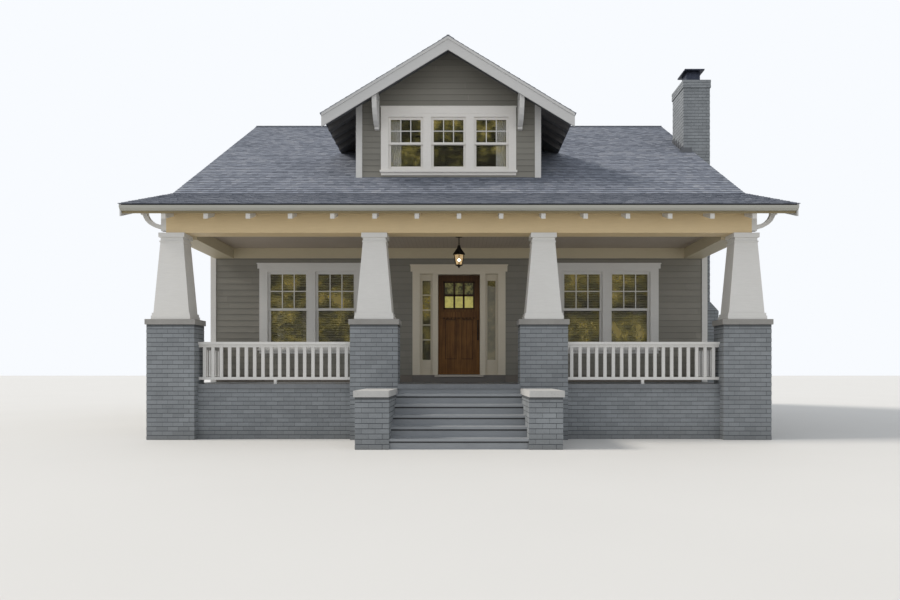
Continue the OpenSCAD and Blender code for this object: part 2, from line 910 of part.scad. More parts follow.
// The caps of the piers and of the walls beside the steps
module masonry_caps() {
    color("silver") {
        for (x = pier_xs)
            translate([0, 0, pier_h + fit]) linear_extrude(cap_t - fit) pier_print(x, cap_overhang);
        cheek_caps();
    }
}

// A moulding at height z that stands out all round from a shaft of width w and depth d
module collar(w, d, out, z, h) {
    translate([-w / 2 - out, -d / 2 - out, z]) cube([w + 2 * out, d + 2 * out, h]);
}

module tapered_column() {
    w0 = column_foot_w;
    d0 = column_foot_d;
    w1 = column_head_w;
    d1 = column_head_d;
    z0 = cap_z + fit;
    z1 = z0 + plinth_h;
    z2 = z1 + base_h;
    z3 = beam_z - fit - capital_h;
    collar(w0, d0, plinth_out, z0, plinth_h);
    collar(w0, d0, base_out, z1, base_h);
    intersection() {
        along_x(-w0 / 2, w0 / 2, [[-d0 / 2, z2], [d0 / 2, z2], [d1 / 2, z3], [-d1 / 2, z3]]);
        along_y(-d0 / 2, d0 / 2, [[-w0 / 2, z2], [w0 / 2, z2], [w1 / 2, z3], [-w1 / 2, z3]]);
    }
    collar(w1, d1, bead_out, z3 - bead_drop - bead_h, bead_h);
    collar(w1, d1, capital_out, z3, capital_h);
}

module tapered_columns() {
    color("white") for (x = pier_xs) translate([x, -beam_reach, 0]) tapered_column();
}

// A railing along X of length l, standing on z = 0, centred on its own middle
module railing(l) {
    count = floor((l - baluster_w) / baluster_pitch);
    low = rail_gap;
    high = rail_h - rail_t - rail_bar;
    translate([-l / 2, -rail_w / 2, rail_h - rail_t]) cube([l, rail_w, rail_t]);
    translate([-l / 2, -rail_bar / 2, high]) cube([l, rail_bar, rail_bar]);
    translate([-l / 2, -rail_bar / 2, low]) cube([l, rail_bar, rail_bar]);
    translate([-rail_bar / 2, -rail_bar / 2, fit]) cube([rail_bar, rail_bar, low]);
    for (i = [0 : count])
        translate([(i - count / 2) * baluster_pitch - baluster_w / 2, -baluster_d / 2, low])
            cube([baluster_w, baluster_d, high - low + rail_bar]);
}

module porch_railings() {
    x0 = inner_pier_x + pier_w / 2 + fit;
    x1 = outer_pier_x - pier_w / 2 - fit;
    y0 = pier_back_y + fit;
    color("white") both_sides() {
        translate([(x0 + x1) / 2, -beam_reach, porch_z]) railing(x1 - x0);
        translate([outer_pier_x, (y0 - fit) / 2, porch_z]) rotate([0, 0, 90]) railing(-fit - y0);
    }
}

// Plane of riser i, counted down from the porch floor
function step_y(i) = -stair_reach - i * going;
stair_half = inner_pier_x - pier_w / 2 - fit;
// Front faces of the walls beside the steps
cheek_y = step_y(risers - 1) - nosing - cheek_front;

module stair_treads() {
    color("gray") for (i = [1 : risers - 1])
        block([-stair_half, step_y(i) - nosing, porch_z - i * riser_h - tread_t],
            [stair_half, step_y(i - 1) - fit, porch_z - i * riser_h]);
}

module stair_risers() {
    color("gray") for (i = [0 : risers - 1]) {
        last = i == risers - 1;
        top = i == 0 ? porch_z - deck_floor_t : porch_z - i * riser_h - tread_t;
        low = last ? 0 : porch_z - (i + 1) * riser_h - tread_t;
        block([-stair_half, step_y(i), low], [stair_half, step_y(i) + riser_t, top - fit]);
    }
}

module stair_cheek_walls() {
    x = stair_half + fit;
    color("slategray") both_sides() block([x, cheek_y, 0], [x + cheek_w, pier_front_y - fit, cheek_h]);
}

module cheek_caps() {
    x = stair_half + fit;
    o = cap_overhang;
    both_sides() block([x, cheek_y - o, cheek_h + fit],
        [x + cheek_w + o, pier_front_y - fit, cheek_h + cheek_cap_t]);
}

// The frame round the front door, with its posts, sidelights, sill and casing
module door_surround() {
    x = door_opening_half - fit;
    y1 = wall_t - fit;
    y0 = y1 - door_frame_t;
    xc = door_opening_half + door_casing_w;
    head_z = door_opening_z + head_casing_h;
    cap_x = head_ear + head_cap_out;
    glass_x = post_out + (sidelight_w - sidelight_glass_w) / 2;
    glass_z = floor_z + side_glass_z;
    color("white") difference() {
        union() {
            block([-x, -casing_t, base_z], [x, y1, door_opening_z]);
            block([-xc, -casing_t, porch_z + fit], [xc, -fit, head_z]);
            block([-xc - head_ear, -casing_t - head_lip, door_opening_z], [xc + head_ear, -fit, head_z]);
            block([-xc - cap_x, -casing_t - head_cap_out, head_z - head_cap_h], [xc + cap_x, -fit, head_z]);
            block([-post_out, -sill_nose, sill_z - sill_t], [post_out, 0, sill_z]);
        }
        block([-x - over, -casing_t - over, base_z - over], [x + over, -fit, porch_z + fit]);
        block([-door_bay_half + stop_w, -casing_t - over, sill_z],
            [door_bay_half - stop_w, wall_t, door_head_z - stop_w]);
        block([-door_bay_half, leaf_y - leaf_gap, sill_z], [door_bay_half, wall_t, door_head_z]);
        both_sides() {
            block([post_out + side_rebate, -casing_t - over, floor_z + side_panel_z],
                [sidelight_out - side_rebate, sidelight_y + side_panel_in, glass_z - sash_w - side_rebate]);
            block([glass_x, -casing_t - over, glass_z],
                [glass_x + sidelight_glass_w, wall_t, glass_z + side_glass_h]);
            block([post_out, -casing_t - over, sill_z], [sidelight_out, sidelight_y, door_head_z]);
        }
    }
}

// The glass of the sidelights beside the door
module sidelight_panes() {
    glass_x = post_out + (sidelight_w - sidelight_glass_w) / 2 + fit;
    glass_z = floor_z + side_glass_z + fit;
    y = sidelight_y + sash_t / 2;
    both_sides() block([glass_x, y, glass_z],
        [glass_x + sidelight_glass_w - 2 * fit, y + glass_t, glass_z + side_glass_h - 2 * fit]);
}

// The door leaf: hinged on the left, opening into the house
module door_leaf() {
    x = leaf_w / 2;
    y = leaf_y;
    color("saddlebrown") difference() {
        union() {
            block([-x, y, leaf_z], [x, y + leaf_t, leaf_z + leaf_h]);
            block([-x + shelf_side, y - shelf_out, leaf_z + shelf_z],
                [x - shelf_side, y, leaf_z + shelf_z + shelf_h]);
        }
        block([-x + stile_w, y - over, leaf_z + lite_z],
            [x - stile_w, y + leaf_t + over, leaf_z + lite_z + lite_h]);
        for (side = [-1, 1]) {
            mid = side * (x - panel_side - panel_w / 2);
            block([mid - panel_w / 2, y - over, leaf_z + panel_z],
                [mid + panel_w / 2, y + panel_in, leaf_z + panel_z + panel_h]);
            block([mid - panel_w / 2, y + leaf_t - panel_in, leaf_z + panel_z],
                [mid + panel_w / 2, y + leaf_t + over, leaf_z + panel_z + panel_h]);
        }
    }
}

module door_glass() {
    x = leaf_w / 2 - stile_w - fit;
    z = leaf_z + lite_z + fit;
    y = leaf_y + leaf_t / 2;
    color("lightblue") block([-x, y - glass_t / 2, z], [x, y + glass_t / 2, z + lite_h - 2 * fit]);
}

// A long pull handle on the outside of the leaf, and the leaf's halves of the hinges
module door_handle() {
    x = leaf_w / 2 - handle_side;
    z = leaf_z + handle_z;
    r = handle_grip / 2;
    color("black") {
        translate([x, leaf_y - handle_reach, z]) cylinder(h = handle_h, r = r, $fn = 24);
        for (dz = [handle_foot, handle_h - handle_foot])
            translate([x, leaf_y, z + dz]) rotate([90, 0, 0])
                cylinder(h = handle_reach, r = r * 2 / 3, $fn = 24);
        for (h = hinge_zs) leaf_knuckle(leaf_z + h + (hinge_h - hinge_part_h) / 2);
    }
}

// The middle knuckle of a hinge from height z up, with its plate on the leaf's inner face
module leaf_knuckle(z) {
    y = leaf_y + leaf_t;
    x = hinge_x + hinge_r;
    translate([hinge_x, hinge_y, z]) cylinder(h = hinge_part_h, r = hinge_r, $fn = 24);
    block([hinge_x + leaf_gap / 2 + fit, y + fit, z],
        [hinge_x + hinge_plate_w, y + hinge_plate_t, z + hinge_part_h]);
    block([x - hinge_plate_t, y + fit, z], [x, hinge_y, z + hinge_part_h]);
}

// The outer knuckles of the hinges, with their plates on the frame's inner face
module door_hinges() {
    color("black") for (h = hinge_zs, up = [0, hinge_h - hinge_part_h])
        translate([hinge_x, 0, leaf_z + h + up]) {
            translate([0, hinge_y, 0]) cylinder(h = hinge_part_h, r = hinge_r, $fn = 24);
            block([-hinge_plate_w, wall_t, 0], [0, wall_t + hinge_plate_t, hinge_part_h]);
        }
}

// A row of coupled double-hung windows. The wall's face is y = 0 and the room lies towards +y. The
// row is centred on x = 0 and its opening's foot is z = 0
module window_row(count, w, h, post, side_casing, head_casing, ear) {
    x = row_w(count, w, post) / 2;
    x_head = x + side_casing + ear;
    x_cap = x_head + head_cap_out;
    z_head = h + head_casing;
    t = casing_t;
    f = frame_w;
    s = sash_w;
    y0 = window_recess;
    y1 = y0 + sash_t;
    y2 = y1 + sash_t;
    mid = h / 2;
    x_sill = x + side_casing + sill_reach / 2;
    difference() {
        union() {
            block([-x + fit, -t, fit], [x - fit, window_frame_t, h - fit]);
            block([-x - side_casing, -t, -sill_t - apron_h], [x + side_casing, -fit, z_head]);
            block([-x_sill, -t - sill_reach, -sill_t], [x_sill, -fit, 0]);
            block([-x_head, -t - head_lip, h + f], [x_head, -fit, z_head]);
            block([-x_cap, -t - head_cap_out, z_head - head_cap_h], [x_cap, -fit, z_head]);
        }
        for (i = [0 : count - 1]) translate([-x + i * (w + post), 0, 0]) {
            block([f, -t - over, f], [w - f, y0, h - f]);
            block([f, -over, f], [w - f, y1, mid - s / 2]);
            block([f, y1, mid + s / 2], [w - f, window_frame_t + over, h - f]);
            block([f, y2, f], [w - f, window_frame_t + over, h - f]);
            block([f + s, -over, mid + s / 2], [w - f - s, window_frame_t + over, h - f - s]);
            block([f + s, -over, f + s + s / 2], [w - f - s, window_frame_t + over, mid - s / 2]);
        }
    }
}

// One sheet of glass for each sash of such a row
module window_row_glass(count, w, h, post) {
    full = row_w(count, w, post);
    f = frame_w + sash_w;
    for (i = [0 : count - 1]) {
        x0 = -full / 2 + i * (w + post) + f + fit;
        x1 = x0 + w - 2 * f - 2 * fit;
        y0 = window_recess + sash_t / 2;
        y1 = y0 + sash_t;
        block([x0, y0, h / 2 + sash_w / 2 + fit], [x1, y0 + glass_t, h - f - fit]);
        block([x0, y1, frame_w + sash_w * 1.5 + fit], [x1, y1 + glass_t, h / 2 - sash_w / 2 - fit]);
    }
}

// Moves a window row to the right side wall at depth y and height z
module on_right_wall(y, z) {
    translate([half_w, y, z]) rotate([0, 0, 90]) children();
}

// Moves a window row to the rear wall at x and height z
module on_rear_wall(x, z) {
    translate([x, house_d, z]) rotate([0, 0, 180]) children();
}

module front_window_frames() {
    color("white") both_sides() translate([front_window_x, 0, window_z])
        window_row(2, window_w, window_h, mullion_w, casing_w, head_casing_h, head_ear);
}

module side_window_frames() {
    color("white") {
        for (y = right_window_ys) on_right_wall(y, window_z)
            window_row(1, window_w, window_h, mullion_w, casing_w, head_casing_h, head_ear);
        mirror([1, 0, 0]) for (y = side_window_ys) on_right_wall(y, window_z)
            window_row(1, window_w, window_h, mullion_w, casing_w, head_casing_h, head_ear);
        both_sides() on_right_wall(ridge_y, gable_window_z)
            window_row(2, window_w, gable_window_h, mullion_w, casing_w, head_casing_h, head_ear);
        for (x = rear_window_xs) on_rear_wall(x, window_z)
            window_row(1, window_w, window_h, mullion_w, casing_w, head_casing_h, head_ear);
    }
}

module dormer_window_frames() {
    color("white") translate([dormer_x, dormer_y, dormer_window_z])
        window_row(3, dormer_window_w, dormer_window_h, dormer_mullion_w, dormer_casing_w,
            dormer_head_casing_h, 0);
}

module window_glass() {
    color("lightblue") {
        both_sides() translate([front_window_x, 0, window_z])
            window_row_glass(2, window_w, window_h, mullion_w);
        for (y = right_window_ys) on_right_wall(y, window_z)
            window_row_glass(1, window_w, window_h, mullion_w);
        mirror([1, 0, 0]) for (y = side_window_ys) on_right_wall(y, window_z)
            window_row_glass(1, window_w, window_h, mullion_w);
        for (x = rear_window_xs) on_rear_wall(x, window_z)
            window_row_glass(1, window_w, window_h, mullion_w);
        translate([dormer_x, dormer_y, dormer_window_z])
            window_row_glass(3, dormer_window_w, dormer_window_h, dormer_mullion_w);
        both_sides() on_right_wall(ridge_y, gable_window_z)
            window_row_glass(2, window_w, gable_window_h, mullion_w);
        sidelight_panes();
    }
}

// The lantern's glass, a sealed body within its bars
module lantern_glass() {
    z0 = ceiling_z - lantern_canopy_h - lantern_stem_h - lantern_roof_h - lantern_body_h;
    inner = lantern_ring + fit;
    color("khaki") translate([0, -lantern_y, z0 + inner]) rotate([0, 0, 30])
        linear_extrude(lantern_body_h - 2 * inner, scale = lantern_r1 / lantern_r0)
            circle(r = lantern_r0, $fn = 6);
}

module porch_lantern() {
    z3 = ceiling_z - fit;
    z2 = z3 - lantern_canopy_h;
    z1 = ceiling_z - lantern_canopy_h - lantern_stem_h;
    z0 = z1 - lantern_roof_h;
    foot_z = z0 - lantern_body_h;
    flare_h = lantern_roof_h - lantern_neck_h;
    color("black") translate([0, -lantern_y, 0]) {
        translate([0, 0, z2]) cylinder(h = lantern_canopy_h, d = lantern_canopy_w, $fn = 48);
        translate([0, 0, z1 - lantern_ring])
            cylinder(h = z2 - z1 + lantern_ring, d = lantern_stem_w, $fn = 24);
        rotate([0, 0, 30]) {
            translate([0, 0, z0]) cylinder(h = flare_h, d1 = lantern_w, d2 = lantern_waist_w, $fn = 6);
            translate([0, 0, z0 + flare_h])
                cylinder(h = lantern_neck_h, d1 = lantern_waist_w, d2 = lantern_neck_w, $fn = 6);
            translate([0, 0, z0 - lantern_ring]) cylinder(h = lantern_ring, d = lantern_head_w, $fn = 6);
            translate([0, 0, foot_z]) cylinder(h = lantern_ring, d = lantern_foot_w, $fn = 6);
        }
        translate([0, 0, foot_z - lantern_finial_h])
            cylinder(h = lantern_finial_h, d1 = lantern_bar, d2 = lantern_foot_w / 2, $fn = 24);
        for (a = [30 : 60 : 330]) rotate([0, 0, a]) lantern_post(foot_z + lantern_ring, z0 - lantern_ring);
    }
}

// A leaning corner bar of the lantern from height low to height high
module lantern_post(low, high) {
    gap = 2 * fit;
    translate([0, lantern_bar / 2, 0]) rotate([90, 0, 0]) linear_extrude(lantern_bar) polygon([
        [lantern_r0 + gap, low], [lantern_r0 + lantern_bar, low],
        [lantern_r1 + lantern_bar, high], [lantern_r1 + gap, high]
    ]);
}

// The brick chimney: a broad base with sloped shoulders, the stack and its crown
module chimney() {
    x0 = half_w + fit;
    top = breast_h + shoulder_h;
    y1 = breast_y + breast_d;
    x1 = stack_x + fit;
    x2 = stack_x + stack_w;
    y2 = stack_y + stack_d;
    o = crown_out;
    color("slategray") {
        block([x0, breast_y, 0], [half_w + breast_w, y1, breast_h]);
        chimney_shoulders(x0, y1);
        block([x0, stack_y, top - over], [x2, y2, roof_under(stack_y) - fit]);
        block([x1, stack_y, top], [x2, y2, stack_z]);
        block([x1 - o, stack_y - o, stack_z - crown_h], [x2 + o, y2 + o, stack_z]);
    }
}

module chimney_shoulders(x0, y1) {
    top = breast_h + shoulder_h;
    intersection() {
        along_y(breast_y, y1, [
            [x0, breast_h - over], [half_w + breast_w, breast_h - over], [half_w + breast_w, breast_h],
            [stack_x + stack_w, top], [x0, top]
        ]);
        along_x(x0, half_w + breast_w, [
            [breast_y, breast_h - over], [y1, breast_h - over], [y1, breast_h], [stack_y + stack_d, top],
            [stack_y, top], [breast_y, breast_h]
        ]);
    }
}

// The flue end and the flat hood over it
module chimney_hood() {
    x = stack_x + stack_w / 2;
    z = stack_z + hood_leg_h;
    f = flue_w / 2;
    color("dimgray") translate([x, stack_mid_y, 0]) {
        block([-f, -f, stack_z + fit], [f, f, z]);
        block([-hood_w / 2, -hood_d / 2, z - hood_plate_t / 2], [hood_w / 2, hood_d / 2, z + hood_plate_t]);
    }
}

foundation();
main_floor();
upper_floor();
front_wall();
left_wall();
right_wall();
rear_wall();
corner_boards();
porch_frieze();
main_roof_front();
main_roof_rear();
porch_roof();
barge_boards();
eave_fascias();
gutters();
rafter_tails();
knee_braces();
dormer_front_wall();
dormer_side_walls();
dormer_roof();
porch_floor();
porch_base();
porch_ceiling();
porch_front_beam();
porch_side_beams();
porch_gables();
brick_piers();
masonry_caps();
tapered_columns();
porch_railings();
stair_treads();
stair_risers();
stair_cheek_walls();
door_surround();
door_leaf();
door_glass();
door_handle();
door_hinges();
front_window_frames();
side_window_frames();
dormer_window_frames();
window_glass();
porch_lantern();
lantern_glass();
chimney();
chimney_hood();
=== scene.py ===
"""Boards, bricks, shingles, window bars, blinds, curtains and paint over the house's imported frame."""
import math

import bmesh
import bpy
from mathutils import Matrix, Vector


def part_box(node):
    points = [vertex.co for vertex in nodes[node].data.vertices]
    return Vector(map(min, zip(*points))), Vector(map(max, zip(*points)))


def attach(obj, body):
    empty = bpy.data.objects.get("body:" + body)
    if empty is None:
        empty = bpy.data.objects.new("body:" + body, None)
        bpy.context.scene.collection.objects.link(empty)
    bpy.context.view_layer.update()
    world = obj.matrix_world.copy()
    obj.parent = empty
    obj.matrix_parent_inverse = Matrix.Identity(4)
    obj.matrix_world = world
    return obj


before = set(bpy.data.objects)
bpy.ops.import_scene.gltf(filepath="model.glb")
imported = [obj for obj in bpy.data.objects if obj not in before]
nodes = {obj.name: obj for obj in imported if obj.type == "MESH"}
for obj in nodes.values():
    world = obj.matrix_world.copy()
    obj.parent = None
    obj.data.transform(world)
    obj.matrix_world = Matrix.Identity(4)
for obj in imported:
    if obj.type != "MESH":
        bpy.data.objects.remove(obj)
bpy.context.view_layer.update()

X, Y, Z = Vector((1, 0, 0)), Vector((0, 1, 0)), Vector((0, 0, 1))

# Camera, in metres and in pixels of the 900 pixel wide picture
EYE = Vector((0, -13.9, 1.20))
PICTURE_W, FOCAL_PX = 900, 651
SENSOR_W = 36
SHIFT = (-0.01, 0.08)

# Lines of the house, from its own pieces
HALF_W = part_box("right_wall")[1].x
HOUSE_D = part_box("rear_wall")[1].y
BASE_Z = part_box("main_floor")[0].z
FLOOR_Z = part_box("main_floor")[1].z
CEILING_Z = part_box("porch_ceiling")[0].z
DECK_T = 0.040
EAVE_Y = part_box("porch_roof")[0].y
EAVE_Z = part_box("porch_roof")[0].z + DECK_T
BREAK_Y, BREAK_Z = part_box("main_roof_front")[0].y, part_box("main_roof_front")[0].z + DECK_T
RIDGE_Y, RIDGE_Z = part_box("main_roof_rear")[0].y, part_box("main_roof_rear")[1].z
REAR_EAVE_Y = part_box("main_roof_rear")[1].y
ROOF_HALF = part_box("main_roof_front")[1].x
DORMER_LOW, DORMER_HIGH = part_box("dormer_front_wall")
DORMER_X = (DORMER_LOW.x + DORMER_HIGH.x) / 2
DORMER_HALF = (DORMER_HIGH.x - DORMER_LOW.x) / 2
DORMER_Y = DORMER_LOW.y
DORMER_EAVE_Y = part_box("dormer_roof")[0].y
DORMER_ROOF_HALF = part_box("dormer_roof")[1].x - DORMER_X
DORMER_RIDGE_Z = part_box("dormer_roof")[1].z
DORMER_EAVE_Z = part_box("dormer_roof")[0].z + DECK_T
SLOPE = (RIDGE_Z - BREAK_Z) / (RIDGE_Y - BREAK_Y)
PORCH_SLOPE = (BREAK_Z - EAVE_Z) / (BREAK_Y - EAVE_Y)
DORMER_SLOPE = (DORMER_RIDGE_Z - DORMER_EAVE_Z) / DORMER_ROOF_HALF
CORNER_BOARD_W, DORMER_BOARD_W = 0.090, 0.110
PIER_W = 0.840
PIER_FRONT, PIER_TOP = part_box("brick_piers")[0].y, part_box("brick_piers")[1].z
CHEEK_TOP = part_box("stair_cheek_walls")[1].z

# Openings: width, height and height above the ground; casing beside, over and under
WINDOW_W, POST_W, DORMER_POST_W = 0.930, 0.090, 0.115
WINDOW_Z, WINDOW_H = 1.700, 1.672
GABLE_Z, GABLE_H = 5.250, 1.350
DORMER_WINDOW_W, DORMER_WINDOW_Z, DORMER_WINDOW_H = 0.825, 5.619, 1.212
FRONT_WINDOW_X = 3.140
SIDE_WINDOW_YS = [share * HOUSE_D for share in (0.2, 0.5, 0.8)]
CASING_W, HEAD_H, APRON_H = 0.140, 0.152, 0.105
DORMER_CASING_W, DORMER_HEAD_H = 0.130, 0.200
JAMB_W, SASH_W, SASH_T, RECESS = 0.035, 0.050, 0.035, 0.015
DOOR_CASING_X, DOOR_TOP = 0.992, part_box("door_surround")[1].z
SIDELIGHT_X, SIDELIGHT_W = 0.611, 0.172

# Chimney: tops of its breast, shoulders and lower stack, the corners of its upper stack, and its crown
BREAST_TOP, SHOULDER_TOP, NECK_Z = 2.700, 2.960, 6.616
STACK_LOW, STACK_HIGH = (5.590, 2.300), (6.240, 3.120)
CROWN_H, CROWN_OUT = 0.200, 0.018

# Coverings
BRICK_COURSE, BRICK_W, BRICK_JOINT, BRICK_END, BRICK_PROUD = 0.078, 0.205, 0.010, 0.0035, 0.0045
LAP, LAP_BUTT, LAP_TIP, BOARD_L = 0.130, 0.014, 0.004, 3.6
LAP_OVER, UNIT_GAP = 0.012, 0.002
SHINGLE, SHINGLE_W, SHINGLE_BUTT, SHINGLE_TIP = 0.130, 0.115, 0.010, 0.004
VERGE, DRIP = 0.045, 0.025
ROOF_EDGE, DORMER_EDGE_Y = ROOF_HALF + VERGE, DORMER_EAVE_Y - VERGE
BOARDS_FOOT_Z, FRIEZE_H = FLOOR_Z + 0.020, 0.215

# Heights where a finish changes: each riser, panes upstairs, the dormer's rafters, the door's upper lights
RISER_H, UPPER_PANE_Z, DORMER_RAFTER_Z, UPPER_LIGHT_Z = 0.164, 5.0, 5.5, 2.85


def roof_z(y):
    """Height of the roof's top surface at depth y."""
    if y < BREAK_Y:
        return EAVE_Z + (y - EAVE_Y) * PORCH_SLOPE
    return RIDGE_Z - abs(y - RIDGE_Y) * SLOPE


def dormer_z(x):
    """Height of the dormer roof's top surface at x."""
    return DORMER_RIDGE_Z - abs(x - DORMER_X) * DORMER_SLOPE


class Wire:
    """A socket of a node tree. Arithmetic on it adds Math nodes."""

    def __init__(self, graph, socket):
        self.graph, self.socket = graph, socket

    def maths(self, operation, *values):
        return self.graph.node("ShaderNodeMath", {"operation": operation}, dict(enumerate(values)))

    def __add__(self, other):
        return self.maths("ADD", self, other)

    def __radd__(self, other):
        return self.maths("ADD", other, self)

    def __sub__(self, other):
        return self.maths("SUBTRACT", self, other)

    def __rsub__(self, other):
        return self.maths("SUBTRACT", other, self)

    def __mul__(self, other):
        return self.maths("MULTIPLY", self, other)

    def __rmul__(self, other):
        return self.maths("MULTIPLY", other, self)

    def __truediv__(self, other):
        return self.maths("DIVIDE", self, other)

    def __gt__(self, other):
        return self.maths("GREATER_THAN", self, other)

    def __lt__(self, other):
        return self.maths("LESS_THAN", self, other)

    def __mod__(self, other):
        return self.maths("FLOORED_MODULO", self, other)

    def __abs__(self):
        return self.maths("ABSOLUTE", self)

    def floor(self):
        return self.maths("FLOOR", self)

    def held(self):
        """The value kept between 0 and 1."""
        kept = self * 1
        kept.socket.node.use_clamp = True
        return kept


class Graph:
    """A node tree under construction. One method adds any node."""

    def __init__(self, tree):
        self.tree = tree

    def node(self, kind, settings=None, inputs=None, out=0):
        made = self.tree.nodes.new(kind)
        for name, value in (settings or {}).items():
            if name == "stops":
                self.set_stops(made.color_ramp, value)
            else:
                setattr(made, name, value)
        for name, value in (inputs or {}).items():
            if isinstance(value, Wire):
                self.tree.links.new(value.socket, made.inputs[name])
            else:
                made.inputs[name].default_value = value
        return Wire(self, made.outputs[out]) if made.outputs else made

    @staticmethod
    def set_stops(ramp, stops):
        while len(ramp.elements) < len(stops):
            ramp.elements.new(1)
        for element, (place, colour) in zip(ramp.elements, stops):
            element.position = place
            element.color = (*colour, 1)


class Finish(Graph):
    """A material, with the patterns that the house's finishes share."""

    def __init__(self, name):
        self.material = bpy.data.materials.new(name)
        self.material.use_nodes = True
        super().__init__(self.material.node_tree)
        self.tree.nodes.clear()
        self.place = self.node("ShaderNodeTexCoord", out="Object")

    def along(self, axis, vector=None):
        return self.node("ShaderNodeSeparateXYZ", inputs={0: vector or self.place}, out=axis)

    def facing_up(self):
        """1 where the surface faces up, 0 where it is upright and -1 where it faces down."""
        return self.along("Z", self.node("ShaderNodeNewGeometry", out="Normal"))

    def stretched(self, x, y, z):
        return self.node("ShaderNodeMapping", inputs={"Vector": self.place, "Scale": (x, y, z)})

    def noise(self, scale, detail=2.0, at=None):
        inputs = {"Vector": at or self.place, "Scale": scale, "Detail": detail, "Roughness": 0.6}
        return self.node("ShaderNodeTexNoise", inputs=inputs)

    def carried(self, name):
        """What each unit carries: "tone" is its random number, "reach" how far up it a point lies."""
        return self.node("ShaderNodeAttribute", {"attribute_name": name}, out="Fac")

    def ramp(self, value, *stops):
        return self.node("ShaderNodeValToRGB", {"stops": stops}, {0: value})

    def mix(self, share, first, second):
        inputs = {0: share, 6: self.colour(first), 7: self.colour(second)}
        return self.node("ShaderNodeMix", {"data_type": "RGBA"}, inputs, out=2)

    @staticmethod
    def colour(value):
        return value if isinstance(value, Wire) else (*value, 1)

    def steps(self, axis, pitch, joint):
        """1 in the joints between boards of this pitch along an axis, and 0 on the boards."""
        return (self.along(axis) % pitch) < joint

    def surface(self, colour, roughness, height=None, depth=0.002, **sockets):
        values = {name.replace("_", " "): value for name, value in sockets.items()}
        values.update({"Base Color": self.colour(colour), "Roughness": roughness})
        if height is not None:
            inputs = {"Height": height, "Distance": depth, "Strength": 1.0}
            values["Normal"] = self.node("ShaderNodeBump", inputs=inputs)
        shader = self.node("ShaderNodeBsdfPrincipled", inputs=values)
        self.node("ShaderNodeOutputMaterial", inputs={0: shader})
        return self.material


def brick_colour(f, tone):
    """Grey brick paint, worn near the ground, with a painted shadow line under the caps, and its pits."""
    blotch, pits = f.noise(1.3, 3), f.noise(45, 2)
    share = (tone + (blotch - 0.5) * 1.1 + (pits - 0.5) * 0.5 + 0.34).held()
    paint = f.mix(share, (0.156, 0.169, 0.180), (0.278, 0.299, 0.317))
    y, z = f.along("Y"), f.along("Z")
    splash = ((0.30 - z) * 2.2 + (blotch - 0.5)).held()
    worn = f.mix(splash * 0.55, paint, (0.105, 0.105, 0.100))
    # Painted shadow: a dark band just under the pier caps and under the step walls' caps.
    line = 0.040
    pier_cap_shadow = (z > PIER_TOP - line) * (y < 0)
    step_cap_shadow = (z > CHEEK_TOP - line) * (z < CHEEK_TOP) * (y < PIER_FRONT - line)
    return f.mix((pier_cap_shadow + step_cap_shadow).held() * 0.75, worn, (0.040, 0.044, 0.048)), pits


def brick_paint():
    f = Finish("painted_brick")
    colour, pits = brick_colour(f, f.carried("tone") * 0.34)
    grit = f.noise(160, 3)
    return f.surface(colour, 0.62 + grit * 0.25, grit * 0.6 + pits, 0.0025)


def brick_joints():
    """Paint in the joints behind the bricks, and brick courses on the chimney's slopes."""
    f = Finish("painted_joints")
    colour, pits = brick_colour(f, 0.3)
    z = f.along("Z")
    slope = (z > BREAST_TOP) * (z < SHOULDER_TOP) * (1 - f.steps("Z", 0.05, 0.009))
    return f.surface(f.mix(slope, (0.062, 0.070, 0.080), colour), 0.85, pits + slope * 2, 0.0025)


def siding_paint():
    f = Finish("siding_paint")
    grain = f.noise(9, 4, f.stretched(0.6, 0.6, 9))
    blotch = f.noise(0.9, 3)
    share = (f.carried("tone") * 0.40 + (grain - 0.5) * 0.35 + (blotch - 0.5) * 0.7 + 0.28).held()
    board = f.mix(share, (0.182, 0.174, 0.148), (0.262, 0.250, 0.214))
    # Painted shadow: a dark band at the top of each board's visible face, just under the butt of the board
    # above.
    colour = f.mix((f.carried("reach") > 0.865) * 0.55, board, (0.060, 0.056, 0.048))
    return f.surface(colour, 0.50 + grain * 0.2, grain, 0.0012)


def board_paint(name, low, high, rough=0.42, dirt=0.5, shade=None):
    """Paint on planed timber: faint brush marks and a little grime."""
    f = Finish(name)
    brush = f.noise(14, 3, f.stretched(0.5, 0.5, 5))
    blotch, fine = f.noise(0.8, 4), f.noise(60, 2)
    share = ((brush - 0.5) * 0.9 + (blotch - 0.5) * 1.2 + 0.5).held()
    grime = ((blotch - 0.56) * 5 * (fine + 0.2)).held()
    clean = f.mix(share, low, high)
    colour = f.mix(grime * dirt * 0.35, clean, [c * 0.55 for c in low])
    # shade adds a mark of a finish's own: painted shadow under the stair nosings, painted shade on the
    # dormer's rafters, or the door's two-tone sill.
    if shade:
        colour = shade(f, colour)
    return f.surface(colour, rough + brush * 0.15, brush * 0.6 + fine * 0.4, 0.0008)


def dark_sill(f, colour):
    """Dark paint on the step under the door's surround, and a worn sill under the door itself."""
    x, z = f.along("X"), f.along("Z")
    sill = (abs(x) < 0.52) * (z > FLOOR_Z - 0.020)
    step = f.mix(sill, (0.150, 0.136, 0.122), (0.440, 0.395, 0.340))
    return f.mix(z < FLOOR_Z + 0.022, colour, step)


def shaded_rafters(f, colour):
    """Painted shade: the rafters under the dormer's eaves are made dark, where the eaves shade them."""
    return f.mix(f.along("Z") > DORMER_RAFTER_Z, colour, (0.075, 0.073, 0.074))


def nosing_shadow(f, colour):
    """Painted shadow at the head of each riser, under the next tread's nosing."""
    place = f.along("Z") % RISER_H
    low, high = 0.098, 0.1255
    return f.mix((place > low) * (place < high) * 0.95, colour, (0.020, 0.022, 0.025))


